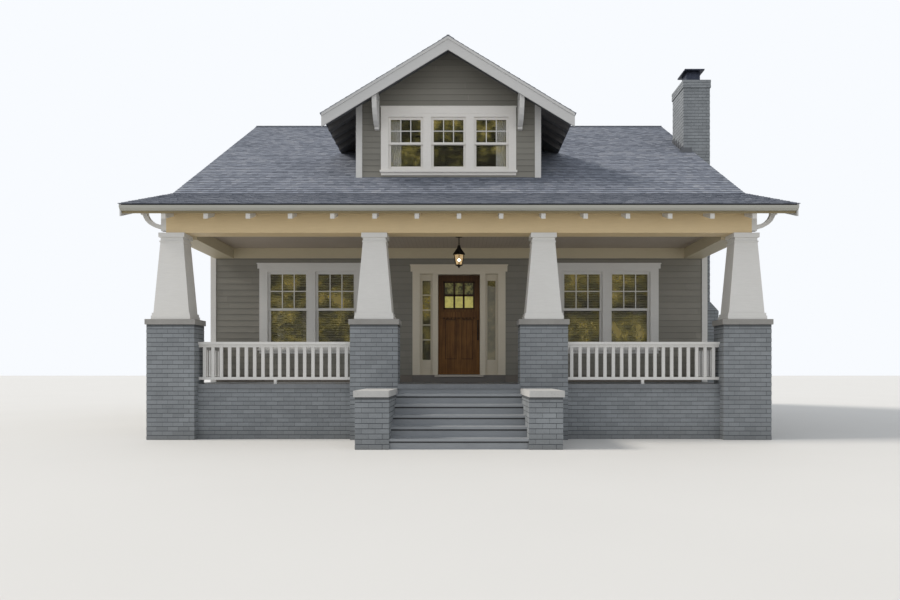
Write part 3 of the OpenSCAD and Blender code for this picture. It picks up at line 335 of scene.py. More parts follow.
def shingle_felt():
    f = Finish("shingles")
    granule, patch, wide = f.noise(330, 2), f.noise(26, 2), f.noise(0.55, 4)
    streak = f.noise(1.0, 3, f.stretched(0.7, 5, 5))
    uneven = f.carried("tone") * 0.46 + (patch - 0.5) * 0.3 + (wide - 0.5) * 0.5 + (streak - 0.5) * 0.9
    share = (uneven + 0.28).held()
    base = f.ramp(share, (0.0, (0.083, 0.095, 0.122)), (0.3, (0.144, 0.164, 0.208)),
                  (0.55, (0.204, 0.228, 0.281)), (0.8, (0.262, 0.283, 0.328)), (1.0, (0.350, 0.373, 0.421)))
    speckled = f.mix((granule - 0.35).held() * 0.8, base, (0.055, 0.062, 0.080))
    reach = f.carried("reach")
    # Painted shadow: a dark band just under each next course's butts, and the butts themselves darkened.
    colour = f.mix((reach > 0.62) * 0.55 + (reach < 0.015) * 0.6, speckled, (0.048, 0.055, 0.072))
    return f.surface(colour, 0.86 + granule * 0.1, granule + patch * 0.5, 0.002)


def roof_boards(name, under):
    """Roof boarding: boards seen from below, dark felt on its edges and top."""
    f = Finish(name)
    seam = f.steps("Y", 0.140, 0.008)
    grain = f.noise(10, 3, f.stretched(5, 0.5, 0.5))
    below = f.facing_up() < -0.3
    board = f.mix((grain - 0.3).held(), under, [c * 0.8 for c in under])
    seamed = f.mix(seam * 0.8, board, [c * 0.35 for c in under])
    colour = f.mix(below, (0.050, 0.052, 0.058), seamed)
    return f.surface(colour, 0.75, grain * 0.3 - seam, 0.003)


def floor_paint():
    """Grey floor paint on narrow boards that run out from the house."""
    f = Finish("floor_paint")
    seam = f.steps("X", 0.083, 0.0035)
    wear, grain = f.noise(3, 4), f.noise(12, 3, f.stretched(6, 0.6, 2))
    share = ((wear - 0.5) * 1.2 + (grain - 0.5) * 0.8 + 0.45).held()
    board = f.mix(share, (0.125, 0.135, 0.148), (0.215, 0.228, 0.240))
    seen = seam * (f.facing_up() > 0.5)
    colour = f.mix(seen, board, (0.030, 0.032, 0.036))
    return f.surface(colour, 0.40 + wear * 0.25, grain * 0.25 - seen, 0.002)


def ceiling_paint():
    f = Finish("ceiling_paint")
    seam = f.steps("X", 0.080, 0.004)
    blotch = f.noise(1.1, 3)
    board = f.mix(blotch, (0.395, 0.335, 0.275), (0.465, 0.400, 0.335))
    return f.surface(f.mix(seam * 0.5, board, (0.160, 0.135, 0.110)), 0.55, 1 - seam, 0.002)


def cast_stone():
    f = Finish("cast_stone")
    grit, blotch, pits = f.noise(140, 3), f.noise(2.2, 4), f.noise(38, 2)
    share = ((blotch - 0.5) * 1.5 + (grit - 0.5) * 0.5 + 0.5).held()
    stone = f.mix(share, (0.235, 0.228, 0.215), (0.355, 0.346, 0.328))
    low = ((1.6 - f.along("Z")) * 4).held()
    pale = f.mix(share, (0.420, 0.420, 0.412), (0.560, 0.560, 0.550))
    colour = f.mix((pits - 0.62).held() * 2.5, f.mix(low, stone, pale), (0.150, 0.147, 0.140))
    return f.surface(colour, 0.80 + grit * 0.15, grit + pits * 0.8, 0.003)


def door_wood(name="door_wood", dark=1.0):
    f = Finish(name)
    warp = f.noise(3, 2)
    grain = f.noise(1, 5, f.stretched(42, 20, 1.6))
    pores = f.noise(6, 3, f.stretched(60, 60, 2.5))
    share = ((grain - 0.5) * 1.7 + (warp - 0.5) * 0.7 + 0.5).held()
    wood = f.ramp(share, *[(place, [c * dark for c in colour]) for place, colour in (
        (0.0, (0.064, 0.024, 0.005)), (0.45, (0.152, 0.064, 0.014)), (1.0, (0.265, 0.124, 0.028)))])
    # Painted shade: the wood darkens towards the door's head, as in the shadow of the deep head.
    shaded = ((f.along("Z") - 2.1) * 0.62).held()
    grained = f.mix((pores - 0.55).held() * 2.0, wood, (0.030, 0.011, 0.003))
    colour = f.mix(shaded, grained, (0.022, 0.009, 0.003))
    return f.surface(colour, 0.45 + pores * 0.2, grain * 0.5 + pores * 0.5, 0.0008, Specular_IOR_Level=0.25)


def dark_metal(name, low, high):
    f = Finish(name)
    rub, grit = f.noise(18, 3), f.noise(240, 2)
    colour = f.mix((rub - 0.45).held() * 2, low, high)
    return f.surface(colour, 0.38 + rub * 0.25, grit, 0.0004, Metallic=0.85)


def sheet_lead():
    f = Finish("lead_flashing")
    rub, wave = f.noise(9, 4), f.noise(3, 2)
    colour = f.mix(rub, (0.075, 0.080, 0.090), (0.170, 0.178, 0.190))
    return f.surface(colour, 0.45 + rub * 0.3, wave, 0.004, Metallic=0.6)


def window_pane():
    """Window glass with painted reflections, soft warm gold and olive patches, paler in the sidelight on the
    right.
    """
    f = Finish("window_glass")
    wave, broad, fine = f.noise(2.5, 1), f.noise(1.7, 3), f.noise(11, 3)
    x, y, z = f.along("X"), f.along("Y"), f.along("Z")
    high = z > UPPER_PANE_Z
    # Painted reflection: the gold and olive patches stand in for trees reflected in the glass, a little less
    # gold in the upper panes.
    share = ((broad - 0.5) * 3.2 + (fine - 0.5) * 1.4 + 0.46 - high * 0.10).held()
    reflection_tint = f.ramp(share, (0.0, (0.012, 0.012, 0.009)), (0.35, (0.125, 0.116, 0.036)),
                  (0.65, (0.330, 0.278, 0.066)), (1.0, (0.640, 0.510, 0.150)))
    entry = (x > 0.5) * (x < 1) * (y < 0.3) * (z < 3.04 + (fine - 0.5) * 0.1)
    colour = f.mix(entry * 0.8, reflection_tint, (0.340, 0.325, 0.285))
    cover = 0.34 + share * 0.16 - high * 0.16 + entry * 0.3
    return f.surface(colour, 0.03, wave, 0.0015, Alpha=cover, IOR=1.52, Specular_Tint=(1.0, 0.90, 0.60, 1))


def door_pane():
    """Obscured glass with painted light: its lower row glows yellow-green by emission, as though daylight
    came through from the room behind.
    """
    f = Finish("obscured_glass")
    ripple, blot = f.noise(55, 3), f.noise(11, 3)
    lower = f.along("Z") < UPPER_LIGHT_Z
    glow = (lower * 0.8 + (ripple - 0.5) * 0.5 + (blot - 0.5) * 1.1 + 0.1).held()
    colour = f.mix(glow, (0.050, 0.048, 0.026), (0.480, 0.440, 0.160))
    # Painted light: emission makes the lower row glow, though no lamp lies behind it.
    light = f.mix(glow, (0.006, 0.006, 0.002), (0.235, 0.210, 0.052))
    return f.surface(colour, 0.18, ripple, 0.002, Emission_Color=light, Emission_Strength=1.0,
                     Specular_IOR_Level=0.2)


def lamp_glass():
    f = Finish("lantern_glass")
    seed = f.noise(70, 2)
    warm = f.mix(seed, (1.0, 0.62, 0.25), (1.0, 0.74, 0.38))
    return f.surface((0.62, 0.50, 0.32), 0.15, seed, 0.0015, Alpha=0.42,
                     Emission_Color=warm, Emission_Strength=0.28)


def lamp_glow():
    f = Finish("lamp_glow")
    core = f.mix(f.noise(12), (1.0, 0.80, 0.52), (1.0, 0.86, 0.62))
    return f.surface(core, 0.3, Emission_Color=core, Emission_Strength=9.0)


def wall_core():
    """Wall boarding under the lap boards outside, a dark base board at the porch, and plaster inside."""
    f = Finish("wall_core")
    patch = f.noise(2, 3)
    y, lining = f.along("Y"), 0.08
    inside = (abs(f.along("X")) < HALF_W - lining) * (y > lining) * (y < HOUSE_D - lining)
    base = (y < 0.05) * (f.along("Z") < BOARDS_FOOT_Z)
    outside = f.mix(base, (0.110, 0.106, 0.092), (0.200, 0.178, 0.155))
    plaster = f.mix(patch, (0.50, 0.47, 0.42), (0.56, 0.53, 0.48))
    return f.surface(f.mix(inside, outside, plaster), 0.8, patch, 0.001)


def indoor_boards():
    f = Finish("indoor_boards")
    seam = f.steps("X", 0.070, 0.002)
    grain = f.noise(10, 4, f.stretched(8, 0.5, 1))
    colour = f.mix(seam, f.mix(grain, (0.16, 0.085, 0.042), (0.30, 0.175, 0.090)), (0.03, 0.02, 0.01))
    return f.surface(colour, 0.35, grain * 0.3 - seam, 0.001)


def cloth(name, low, high):
    f = Finish(name)
    weave = f.noise(420, 2)
    fold = f.noise(2, 2)
    return f.surface(f.mix(weave * 0.5 + fold * 0.5, low, high), 0.9, weave, 0.0006)


FINISHES = {
    "brick": brick_paint(),
    "joints": brick_joints(),
    "siding": siding_paint(),
    "trim": board_paint("trim_paint", (0.620, 0.610, 0.585), (0.715, 0.708, 0.688)),
    # Painted light: the dormer's window frames take a brighter, warmer copy of the trim paint.
    "lit_dormer_trim": board_paint("dormer_trim_paint_lit", (0.745, 0.715, 0.668), (0.850, 0.820, 0.775)),
    "entry": board_paint("entry_paint", (0.600, 0.545, 0.430), (0.690, 0.630, 0.510), shade=dark_sill),
    # The tail paint also carries painted shade on the dormer's rafters.
    "tails": board_paint("tail_paint", (0.620, 0.605, 0.575), (0.720, 0.710, 0.685), shade=shaded_rafters),
    # Painted light: the front beam's warm beige stands in for warm bounce light on white paint.
    "beam": board_paint("beam_paint", (0.620, 0.480, 0.275), (0.720, 0.565, 0.330)),
    "frieze": board_paint("frieze_paint", (0.480, 0.415, 0.285), (0.555, 0.490, 0.345)),
    # Painted shade: the barge boards take a darker, bluish copy of the trim paint.
    "barge": board_paint("barge_paint", (0.500, 0.498, 0.490), (0.580, 0.578, 0.570)),
    "gutter": board_paint("gutter_paint", (0.330, 0.328, 0.290), (0.400, 0.398, 0.355), 0.35),
    # Painted shade: the fascias under the gutters are a dark warm brown, standing in for the shade there.
    "shaded_fascia": board_paint("fascia_paint_shaded", (0.250, 0.200, 0.105), (0.300, 0.240, 0.130)),
    "step": board_paint("step_paint", (0.225, 0.240, 0.258), (0.320, 0.338, 0.356),
                        dirt=0.9, shade=nosing_shadow),
    "blind": board_paint("blind_slats", (0.760, 0.720, 0.620), (0.830, 0.795, 0.700)),
    "shingle": shingle_felt(),
    "soffit": roof_boards("porch_roof_boards", (0.440, 0.400, 0.330)),
    # Painted shade: the dormer's roof boards are dark grey underneath, where its eaves shade them.
    "shaded_dormer_soffit": roof_boards("dormer_roof_boards_shaded", (0.130, 0.130, 0.136)),
    "floor": floor_paint(),
    "ceiling": ceiling_paint(),
    "stone": cast_stone(),
    "wood": door_wood(),
    "bar_wood": door_wood("door_bar_wood", 0.32),
    # The darker bead wood on the blocks under the shelf is painted shade, standing in for the shelf's
    # shadow; the panel beads share it.
    "bead_wood": door_wood("door_bead_wood", 0.42),
    "bronze": dark_metal("dark_bronze", (0.022, 0.019, 0.017), (0.070, 0.055, 0.042)),
    "hood": dark_metal("hood_steel", (0.040, 0.046, 0.066), (0.095, 0.108, 0.150)),
    "lead": sheet_lead(),
    "pane": window_pane(),
    "door_pane": door_pane(),
    "lamp": lamp_glass(),
    "glow": lamp_glow(),
    "core": wall_core(),
    "indoor": indoor_boards(),
    "curtain": cloth("curtain_cloth", (0.80, 0.79, 0.76), (0.90, 0.89, 0.86)),
}

NODE_FINISH = {
    "joints": ["foundation", "porch_base", "brick_piers", "stair_cheek_walls", "chimney"],
    "indoor": ["main_floor", "upper_floor"],
    "core": ["front_wall", "left_wall", "right_wall", "rear_wall", "dormer_front_wall", "dormer_side_walls",
             "porch_gables"],
    "trim": ["corner_boards", "knee_braces", "tapered_columns", "porch_railings",
             "front_window_frames", "side_window_frames"],
    "lit_dormer_trim": ["dormer_window_frames"],
    "entry": ["door_surround"],
    "tails": ["rafter_tails"],
    "barge": ["barge_boards"],
    "beam": ["porch_front_beam"],
    "frieze": ["porch_side_beams", "porch_frieze"],
    "gutter": ["gutters"],
    "shaded_fascia": ["eave_fascias"],
    "soffit": ["main_roof_front", "main_roof_rear", "porch_roof"],
    "shaded_dormer_soffit": ["dormer_roof"],
    "floor": ["porch_floor"],
    "step": ["stair_treads", "stair_risers"],
    "ceiling": ["porch_ceiling"],
    "stone": ["masonry_caps"],
    "pane": ["window_glass"],
    "door_pane": ["door_glass"],
    "wood": ["door_leaf"],
    "bronze": ["door_handle", "door_hinges", "porch_lantern"],
    "hood": ["chimney_hood"],
    "lamp": ["lantern_glass"],
}


def finish_nodes():
    for finish, names in NODE_FINISH.items():
        for name in names:
            for place in nodes[name].material_slots:
                place.material = FINISHES[finish]


def coursed_tree():
    """Rows of one unit on a flat face: a row runs along X, the rows climb along Y and Z points outwards."""
    tree = bpy.data.node_groups.new("coursed_units", "GeometryNodeTree")
    wanted = [("Unit", "Object"), ("Columns", "Int"), ("Rows", "Int"), ("Pitch", "Float"),
              ("Course", "Float"), ("Stagger", "Float"), ("Slip", "Float"), ("Uneven", "Float"),
              ("Seed", "Int"), ("Finish", "Material")]
    for name, kind in wanted:
        tree.interface.new_socket(name, in_out="INPUT", socket_type="NodeSocket" + kind)
    tree.interface.new_socket("Geometry", in_out="OUTPUT", socket_type="NodeSocketGeometry")
    g = Graph(tree)
    given = {name: g.node("NodeGroupInput", out=name) for name, _ in wanted}
    index = g.node("GeometryNodeInputIndex")
    row = (index / given["Columns"]).floor()
    column = index - row * given["Columns"]

    def chance(identity, seed):
        inputs = {2: 0.0, 3: 1.0, "ID": identity, "Seed": seed}
        return g.node("FunctionNodeRandomValue", {"data_type": "FLOAT"}, inputs, out=1)

    shift = given["Stagger"] * (row % 2) + given["Slip"] * chance(row, given["Seed"])
    place = g.node("ShaderNodeCombineXYZ",
                   inputs={"X": (column + shift) * given["Pitch"], "Y": row * given["Course"]})
    count = given["Columns"] * given["Rows"]
    points = g.node("GeometryNodePoints", inputs={"Count": count, "Position": place})
    unit = g.node("GeometryNodeObjectInfo", inputs={"Object": given["Unit"]}, out="Geometry")
    lift = 1 + given["Uneven"] * chance(index, given["Seed"] + 1)
    size = g.node("ShaderNodeCombineXYZ", inputs={"X": 1.0, "Y": 1.0, "Z": lift})
    copies = g.node("GeometryNodeInstanceOnPoints",
                    inputs={"Points": points, "Instance": unit, "Scale": size})
    toned = g.node("GeometryNodeStoreNamedAttribute", {"data_type": "FLOAT", "domain": "INSTANCE"},
                   {"Geometry": copies, "Name": "tone", "Value": chance(index, given["Seed"] + 2)})
    real = g.node("GeometryNodeRealizeInstances", inputs={"Geometry": toned})
    done = g.node("GeometryNodeSetMaterial", inputs={"Geometry": real, "Material": given["Finish"]})
    g.node("NodeGroupOutput", inputs={"Geometry": done})
    return tree


COURSED = coursed_tree()


def mesh_of(name, bm):
    """A mesh from one under construction, which ends with it."""
    mesh = bpy.data.meshes.new(name)
    bm.to_mesh(mesh)
    bm.free()
    return mesh


def place_object(name, data):
    made = bpy.data.objects.new(name, data)
    bpy.context.scene.collection.objects.link(made)
    return made


def run_tree(tree, values):
    """The plain mesh that a Geometry Nodes tree makes from these named inputs."""
    host = place_object("bench", bpy.data.meshes.new("bench"))
    modifier = host.modifiers.new("rows", "NODES")
    modifier.node_group = tree
    for item in tree.interface.items_tree:
        if item.in_out == "INPUT":
            modifier[item.identifier] = values[item.name]
    graph = bpy.context.evaluated_depsgraph_get()
    mesh = bpy.data.meshes.new_from_object(host.evaluated_get(graph))
    host.modifiers.clear()
    bpy.data.objects.remove(host)
    return mesh


def hidden_unit(name, bm):
    """A unit for the tree to repeat, kept out of the scene."""
    return bpy.data.objects.new(name, mesh_of(name, bm))


def prism(corners_low, corners_high):
    """A closed block between a four-cornered ring and the same ring further on."""
    bm = bmesh.new()
    low = [bm.verts.new(p) for p in corners_low]
    high = [bm.verts.new(p) for p in corners_high]
    bm.faces.new(low[::-1])
    bm.faces.new(high)
    for i in range(4):
        j = (i + 1) % 4
        bm.faces.new((low[i], low[j], high[j], high[i]))
    bmesh.ops.recalc_face_normals(bm, faces=bm.faces)
    return bm


def wedge_unit(name, length, height, butt, tip):
    """A board or shingle: thick along its foot, thin along its head."""
    ends = [[(x, 0, 0), (x, 0, butt), (x, height, tip), (x, height, 0)] for x in (0, length)]
    bm = prism(*ends)
    reach = bm.verts.layers.float.new("reach")
    for vert in bm.verts:
        vert[reach] = vert.co.y / height
    return hidden_unit(name, bm)


def brick_unit(name, length, height, depth, chamfer=0.004):
    """A brick with its outer edges eased."""
    bm = bmesh.new()
    bmesh.ops.create_cube(bm, size=1)
    bmesh.ops.scale(bm, vec=(length, height, depth), verts=bm.verts)
    bmesh.ops.translate(bm, vec=(length / 2, height / 2, -depth / 2), verts=bm.verts)
    outer = [e for e in bm.edges if all(v.co.z > 0 for v in e.verts)]
    bmesh.ops.bevel(bm, geom=outer, offset=chamfer, segments=1, affect="EDGES")
    return hidden_unit(name, bm)


class Face:
    """A flat face of the house with its own axes: u to the right seen from outside, v up, and out."""

    def __init__(self, origin, right, up, width):
        out = right.cross(up).normalized()
        self.matrix = Matrix.Translation(origin) @ Matrix((right, up, out)).transposed().to_4x4()
        self.width = width


def cut(bm, point, normal, clear=True):
    """Cuts a mesh along a plane; what lies on the normal's side goes, and the cut is closed."""
    geom = bm.verts[:] + bm.edges[:] + bm.faces[:]
    made = bmesh.ops.bisect_plane(bm, geom=geom, plane_co=point, plane_no=normal, clear_outer=clear)
    if clear:
        rim = [e for e in made["geom_cut"] if isinstance(e, bmesh.types.BMEdge)]
        bmesh.ops.holes_fill(bm, edges=rim, sides=0)


def cut_opening(bm, low, high):
    """Takes the block between two corners (u, v) out of a covering."""
    for normal in (X, Y):
        for corner in (low, high):
            cut(bm, (*corner, 0), normal, clear=False)
    inside = []
    for face in bm.faces:
        middle = face.calc_center_median()
        if low[0] < middle.x < high[0] and low[1] < middle.y < high[1]:
            inside.append(face)
    bmesh.ops.delete(bm, geom=inside, context="FACES")
    rim = [e for e in bm.edges if e.is_boundary]
    bmesh.ops.holes_fill(bm, edges=rim, sides=0)


def drop_islands(bm, unwanted):
    """Deletes each separate unit whose middle the test names."""
    seen, gone = set(), []
    for start in bm.verts:
        if start in seen:
            continue
        island, stack = [], [start]
        seen.add(start)
        while stack:
            vert = stack.pop()
            island.append(vert)
            for edge in vert.link_edges:
                other = edge.other_vert(vert)
                if other not in seen:
                    seen.add(other)
                    stack.append(other)
        middle = sum((v.co for v in island), Vector()) / len(island)
        if unwanted(middle):
            gone += island
    bmesh.ops.delete(bm, geom=gone, context="VERTS")


class Covering:
    """One piece made of coursed units on several faces."""

    def __init__(self, name, finish, slot):
        self.name, self.finish, self.slot = name, FINISHES[finish], slot
        self.whole = bmesh.new()
        self.seed = len(name) * 7

    def lay(self, face, unit, columns, rows, pitch, course, stagger=0.0, slip=0.0, uneven=0.0,
            start=(0.0, 0.0), limits=None, openings=(), planes=(), unwanted=None):
        self.seed += 3
        mesh = run_tree(COURSED, {
            "Unit": unit, "Columns": columns, "Rows": rows, "Pitch": pitch, "Course": course,
            "Stagger": stagger, "Slip": slip, "Uneven": uneven, "Seed": self.seed, "Finish": self.finish})
        bm = bmesh.new()
        bm.from_mesh(mesh)
        bpy.data.meshes.remove(mesh)
        bmesh.ops.translate(bm, vec=(*start, 0), verts=bm.verts)
        if limits:
            (u0, v0), (u1, v1) = limits
            for point, normal in ((X * u0, -X), (X * u1, X), (Y * v0, -Y), (Y * v1, Y)):
                cut(bm, point, normal)
        for low, high in openings:
            cut_opening(bm, low, high)
        bm.transform(face.matrix)
        for point, normal in planes:
            cut(bm, point, normal)
        if unwanted:
            drop_islands(bm, unwanted)
        laid = mesh_of("laid", bm)
        self.whole.from_mesh(laid)
        bpy.data.meshes.remove(laid)

    def done(self):
        add_piece(self.name, self.whole, self.finish)


def add_piece(name, bm, material, body="root"):
    """A finished piece from a mesh under construction."""
    piece = place_object(name, mesh_of(name, bm))
    piece.data.materials.clear()
    piece.data.materials.append(material)
    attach(piece, body)
    return piece


def add_block(bm, low, high, matrix=None):
    """A box between two corners, added to a mesh."""
    made = bmesh.ops.create_cube(bm, size=1)["verts"]
    low, high = Vector(low), Vector(high)
    size = high - low
    bmesh.ops.scale(bm, vec=size, verts=made)
    bmesh.ops.translate(bm, vec=(low + high) / 2, verts=made)
    if matrix:
        bmesh.ops.transform(bm, matrix=matrix, verts=made)


def brick_rings(covering, low, high, skip=()):
    """Running bond round a block. Rows turn each corner with alternate bricks, and stop square beside a
    skipped side."""
    p = BRICK_PROUD
    x0, y0, x1, y1 = low[0] - p, low[1] - p, high[0] + p, high[1] + p
    rows = max(1, round((high[2] - low[2]) / BRICK_COURSE))
    course = (high[2] - low[2]) / rows
    sides = [(side, Face(Vector((x, y, low[2])), right, Z, width)) for side, x, y, right, width in (
        ("front", x0, y0, X, x1 - x0), ("right", x1, y0, Y, y1 - y0),
        ("rear", x1, y1, -X, x1 - x0), ("left", x0, y1, -Y, y1 - y0))]

    def bond(face):
        columns = max(1, round(face.width / BRICK_W - 0.5))
        return columns, face.width / (columns + 0.5)

    for i, (side, face) in enumerate(sides):
        if side in skip:
            continue
        columns, pitch = bond(face)
        deep = bond(sides[i - 1][1])[1] / 2 - BRICK_END
        unit = brick_unit("brick", pitch - BRICK_END, course - BRICK_JOINT, deep)
        covering.lay(face, unit, columns, rows, pitch, course, stagger=0.5, start=(0, BRICK_JOINT / 2))
        half = brick_unit("half_brick", pitch / 2 - BRICK_END, course - BRICK_JOINT, deep)
        if sides[i - 1][0] in skip and rows > 1:
            covering.lay(face, half, 1, rows // 2, pitch, 2 * course, start=(0, course + BRICK_JOINT / 2))
        if sides[(i + 1) % 4][0] in skip:
            covering.lay(face, half, 1, (rows + 1) // 2, pitch, 2 * course,
                         start=(face.width - pitch / 2, BRICK_JOINT / 2))


def lay_bricks():
    piers = Covering("pier_bricks", "brick", "painted_brick")
    pier_low, pier_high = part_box("brick_piers")
    steps_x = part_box("stair_treads")[1].x
    inner, outer = steps_x + PIER_W / 2, pier_high.x - PIER_W / 2
    for x in (-outer, -inner, inner, outer):
        brick_rings(piers, (x - PIER_W / 2, pier_low.y, 0), (x + PIER_W / 2, pier_high.y, pier_high.z))
    piers.done()

    cheeks = Covering("step_wall_bricks", "brick", "painted_brick")
    low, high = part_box("stair_cheek_walls")
    for x0, x1 in ((low.x, -steps_x), (steps_x, high.x)):
        brick_rings(cheeks, (x0, low.y, 0), (x1, high.y, high.z), skip=("rear",))
    cheeks.done()

    base = Covering("foundation_bricks", "brick", "painted_brick")
    low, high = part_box("foundation")
    brick_rings(base, (low.x, 0, 0), (high.x, high.y, high.z), skip=("front",))
    low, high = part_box("porch_base")
    near, far = inner + PIER_W / 2, pier_high.x - PIER_W
    for x0, x1 in ((-far, -near), (near, far)):
        brick_rings(base, (x0, low.y, 0), (x1, high.y, high.z), skip=("left", "right", "rear"))
    brick_rings(base, (low.x, pier_high.y, 0), (high.x, high.y, high.z), skip=("front", "rear"))
    base.done()

    stack = Covering("chimney_bricks", "brick", "painted_brick")
    low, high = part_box("chimney")
    (x0, y0), (x1, y1) = STACK_LOW, STACK_HIGH
    crown_z, out = high.z - CROWN_H, CROWN_OUT
    brick_rings(stack, (HALF_W, low.y, 0), (high.x, high.y, BREAST_TOP), skip=("left",))
    brick_rings(stack, (HALF_W, y0, SHOULDER_TOP), (x1, y1, NECK_Z), skip=("left",))
    brick_rings(stack, (x0, y0, NECK_Z), (x1, y1, crown_z))
    brick_rings(stack, (x0 - out, y0 - out, crown_z), (x1 + out, y1 + out, high.z))
    stack.done()


def lay_shingles():
    roof = Covering("roof_shingles", "shingle", "shingles")

    def slope(origin, right, up, width, length, unwanted=None):
        up = up.normalized()
        rows = math.ceil(length / SHINGLE)
        course = length / rows
        columns = math.ceil(width / SHINGLE_W) + 1
        unit = wedge_unit("shingle", SHINGLE_W - UNIT_GAP, course * 1.25, SHINGLE_BUTT, SHINGLE_TIP)
        roof.lay(Face(origin, right, up, width), unit, columns, rows, SHINGLE_W, course,
                 stagger=0.5, slip=0.45, uneven=0.5, start=(-SHINGLE_W, 0),
                 limits=((0, -1), (width, length + 1)), unwanted=unwanted)

    def under_dormer(p):
        u = abs(p.x - DORMER_X)
        return u < DORMER_HALF - 0.05 and p.y > DORMER_Y + 0.07 and p.z < dormer_z(p.x)

    def sunk(p):
        return p.z < roof_z(p.y) - 0.02

    full = 2 * ROOF_EDGE
    porch_up, main_up, rear_up = (Vector((0, way, rise)) for way, rise in (
        (1, PORCH_SLOPE), (1, SLOPE), (-1, SLOPE)))
    start = Vector((-ROOF_EDGE, EAVE_Y - DRIP, EAVE_Z - DRIP * PORCH_SLOPE))
    slope(start, X, porch_up, full, (BREAK_Y - EAVE_Y + DRIP) * porch_up.length)
    start = Vector((-ROOF_EDGE, BREAK_Y, BREAK_Z))
    slope(start, X, main_up, full, (RIDGE_Y - BREAK_Y) * main_up.length, under_dormer)
    start = Vector((ROOF_EDGE, REAR_EAVE_Y + DRIP, roof_z(REAR_EAVE_Y) - DRIP * SLOPE))
    slope(start, -X, rear_up, full, (REAR_EAVE_Y + DRIP - RIDGE_Y) * rear_up.length)

    half = DORMER_ROOF_HALF + DRIP
    low_z = DORMER_RIDGE_Z - half * DORMER_SLOPE
    deep, length = RIDGE_Y - DORMER_EDGE_Y, half * math.hypot(1, DORMER_SLOPE)
    for side, y in ((1, DORMER_EDGE_Y), (-1, RIDGE_Y)):
        start, up = Vector((DORMER_X + side * half, y, low_z)), Vector((-side, 0, DORMER_SLOPE))
        slope(start, side * Y, up, deep, length, sunk)
    roof.done()


def window_rows():
    """Each row of windows: wall, middle of its foot, direction, count, width, height, post, casing, head."""
    ground = (WINDOW_W, WINDOW_H, POST_W, CASING_W, HEAD_H)
    gable = (WINDOW_W, GABLE_H, POST_W, CASING_W, HEAD_H)
    rows = []
    for x in (-FRONT_WINDOW_X, FRONT_WINDOW_X):
        rows.append(("front", Vector((x, 0, WINDOW_Z)), X, 2, *ground))
    rows.append(("dormer", Vector((DORMER_X, DORMER_Y, DORMER_WINDOW_Z)), X, 3, DORMER_WINDOW_W,
                 DORMER_WINDOW_H, DORMER_POST_W, DORMER_CASING_W, DORMER_HEAD_H))
    for y in SIDE_WINDOW_YS:
        rows.append(("left", Vector((-HALF_W, y, WINDOW_Z)), -Y, 1, *ground))
    for y in SIDE_WINDOW_YS[1:]:
        rows.append(("right", Vector((HALF_W, y, WINDOW_Z)), Y, 1, *ground))
    rows.append(("left", Vector((-HALF_W, RIDGE_Y, GABLE_Z)), -Y, 2, *gable))
    rows.append(("right", Vector((HALF_W, RIDGE_Y, GABLE_Z)), Y, 2, *gable))
    for x in (-FRONT_WINDOW_X, 0, FRONT_WINDOW_X):
        rows.append(("rear", Vector((x, HOUSE_D, WINDOW_Z)), -X, 1, *ground))
    return rows


def row_width(count, width, post):
    return count * width + (count - 1) * post


def row_holes(wall, start, base):
    """The blocks (u, v) that the window rows of a wall take out of its boards."""
    holes = []
    for name, foot, right, count, width, height, post, side, head in window_rows():
        if name != wall:
            continue
        middle = (foot - start).dot(right)
        half = row_width(count, width, post) / 2 + side
        low = foot.z - base
        holes.append(((middle - half, low - APRON_H), (middle + half, low + height + head)))
    return holes


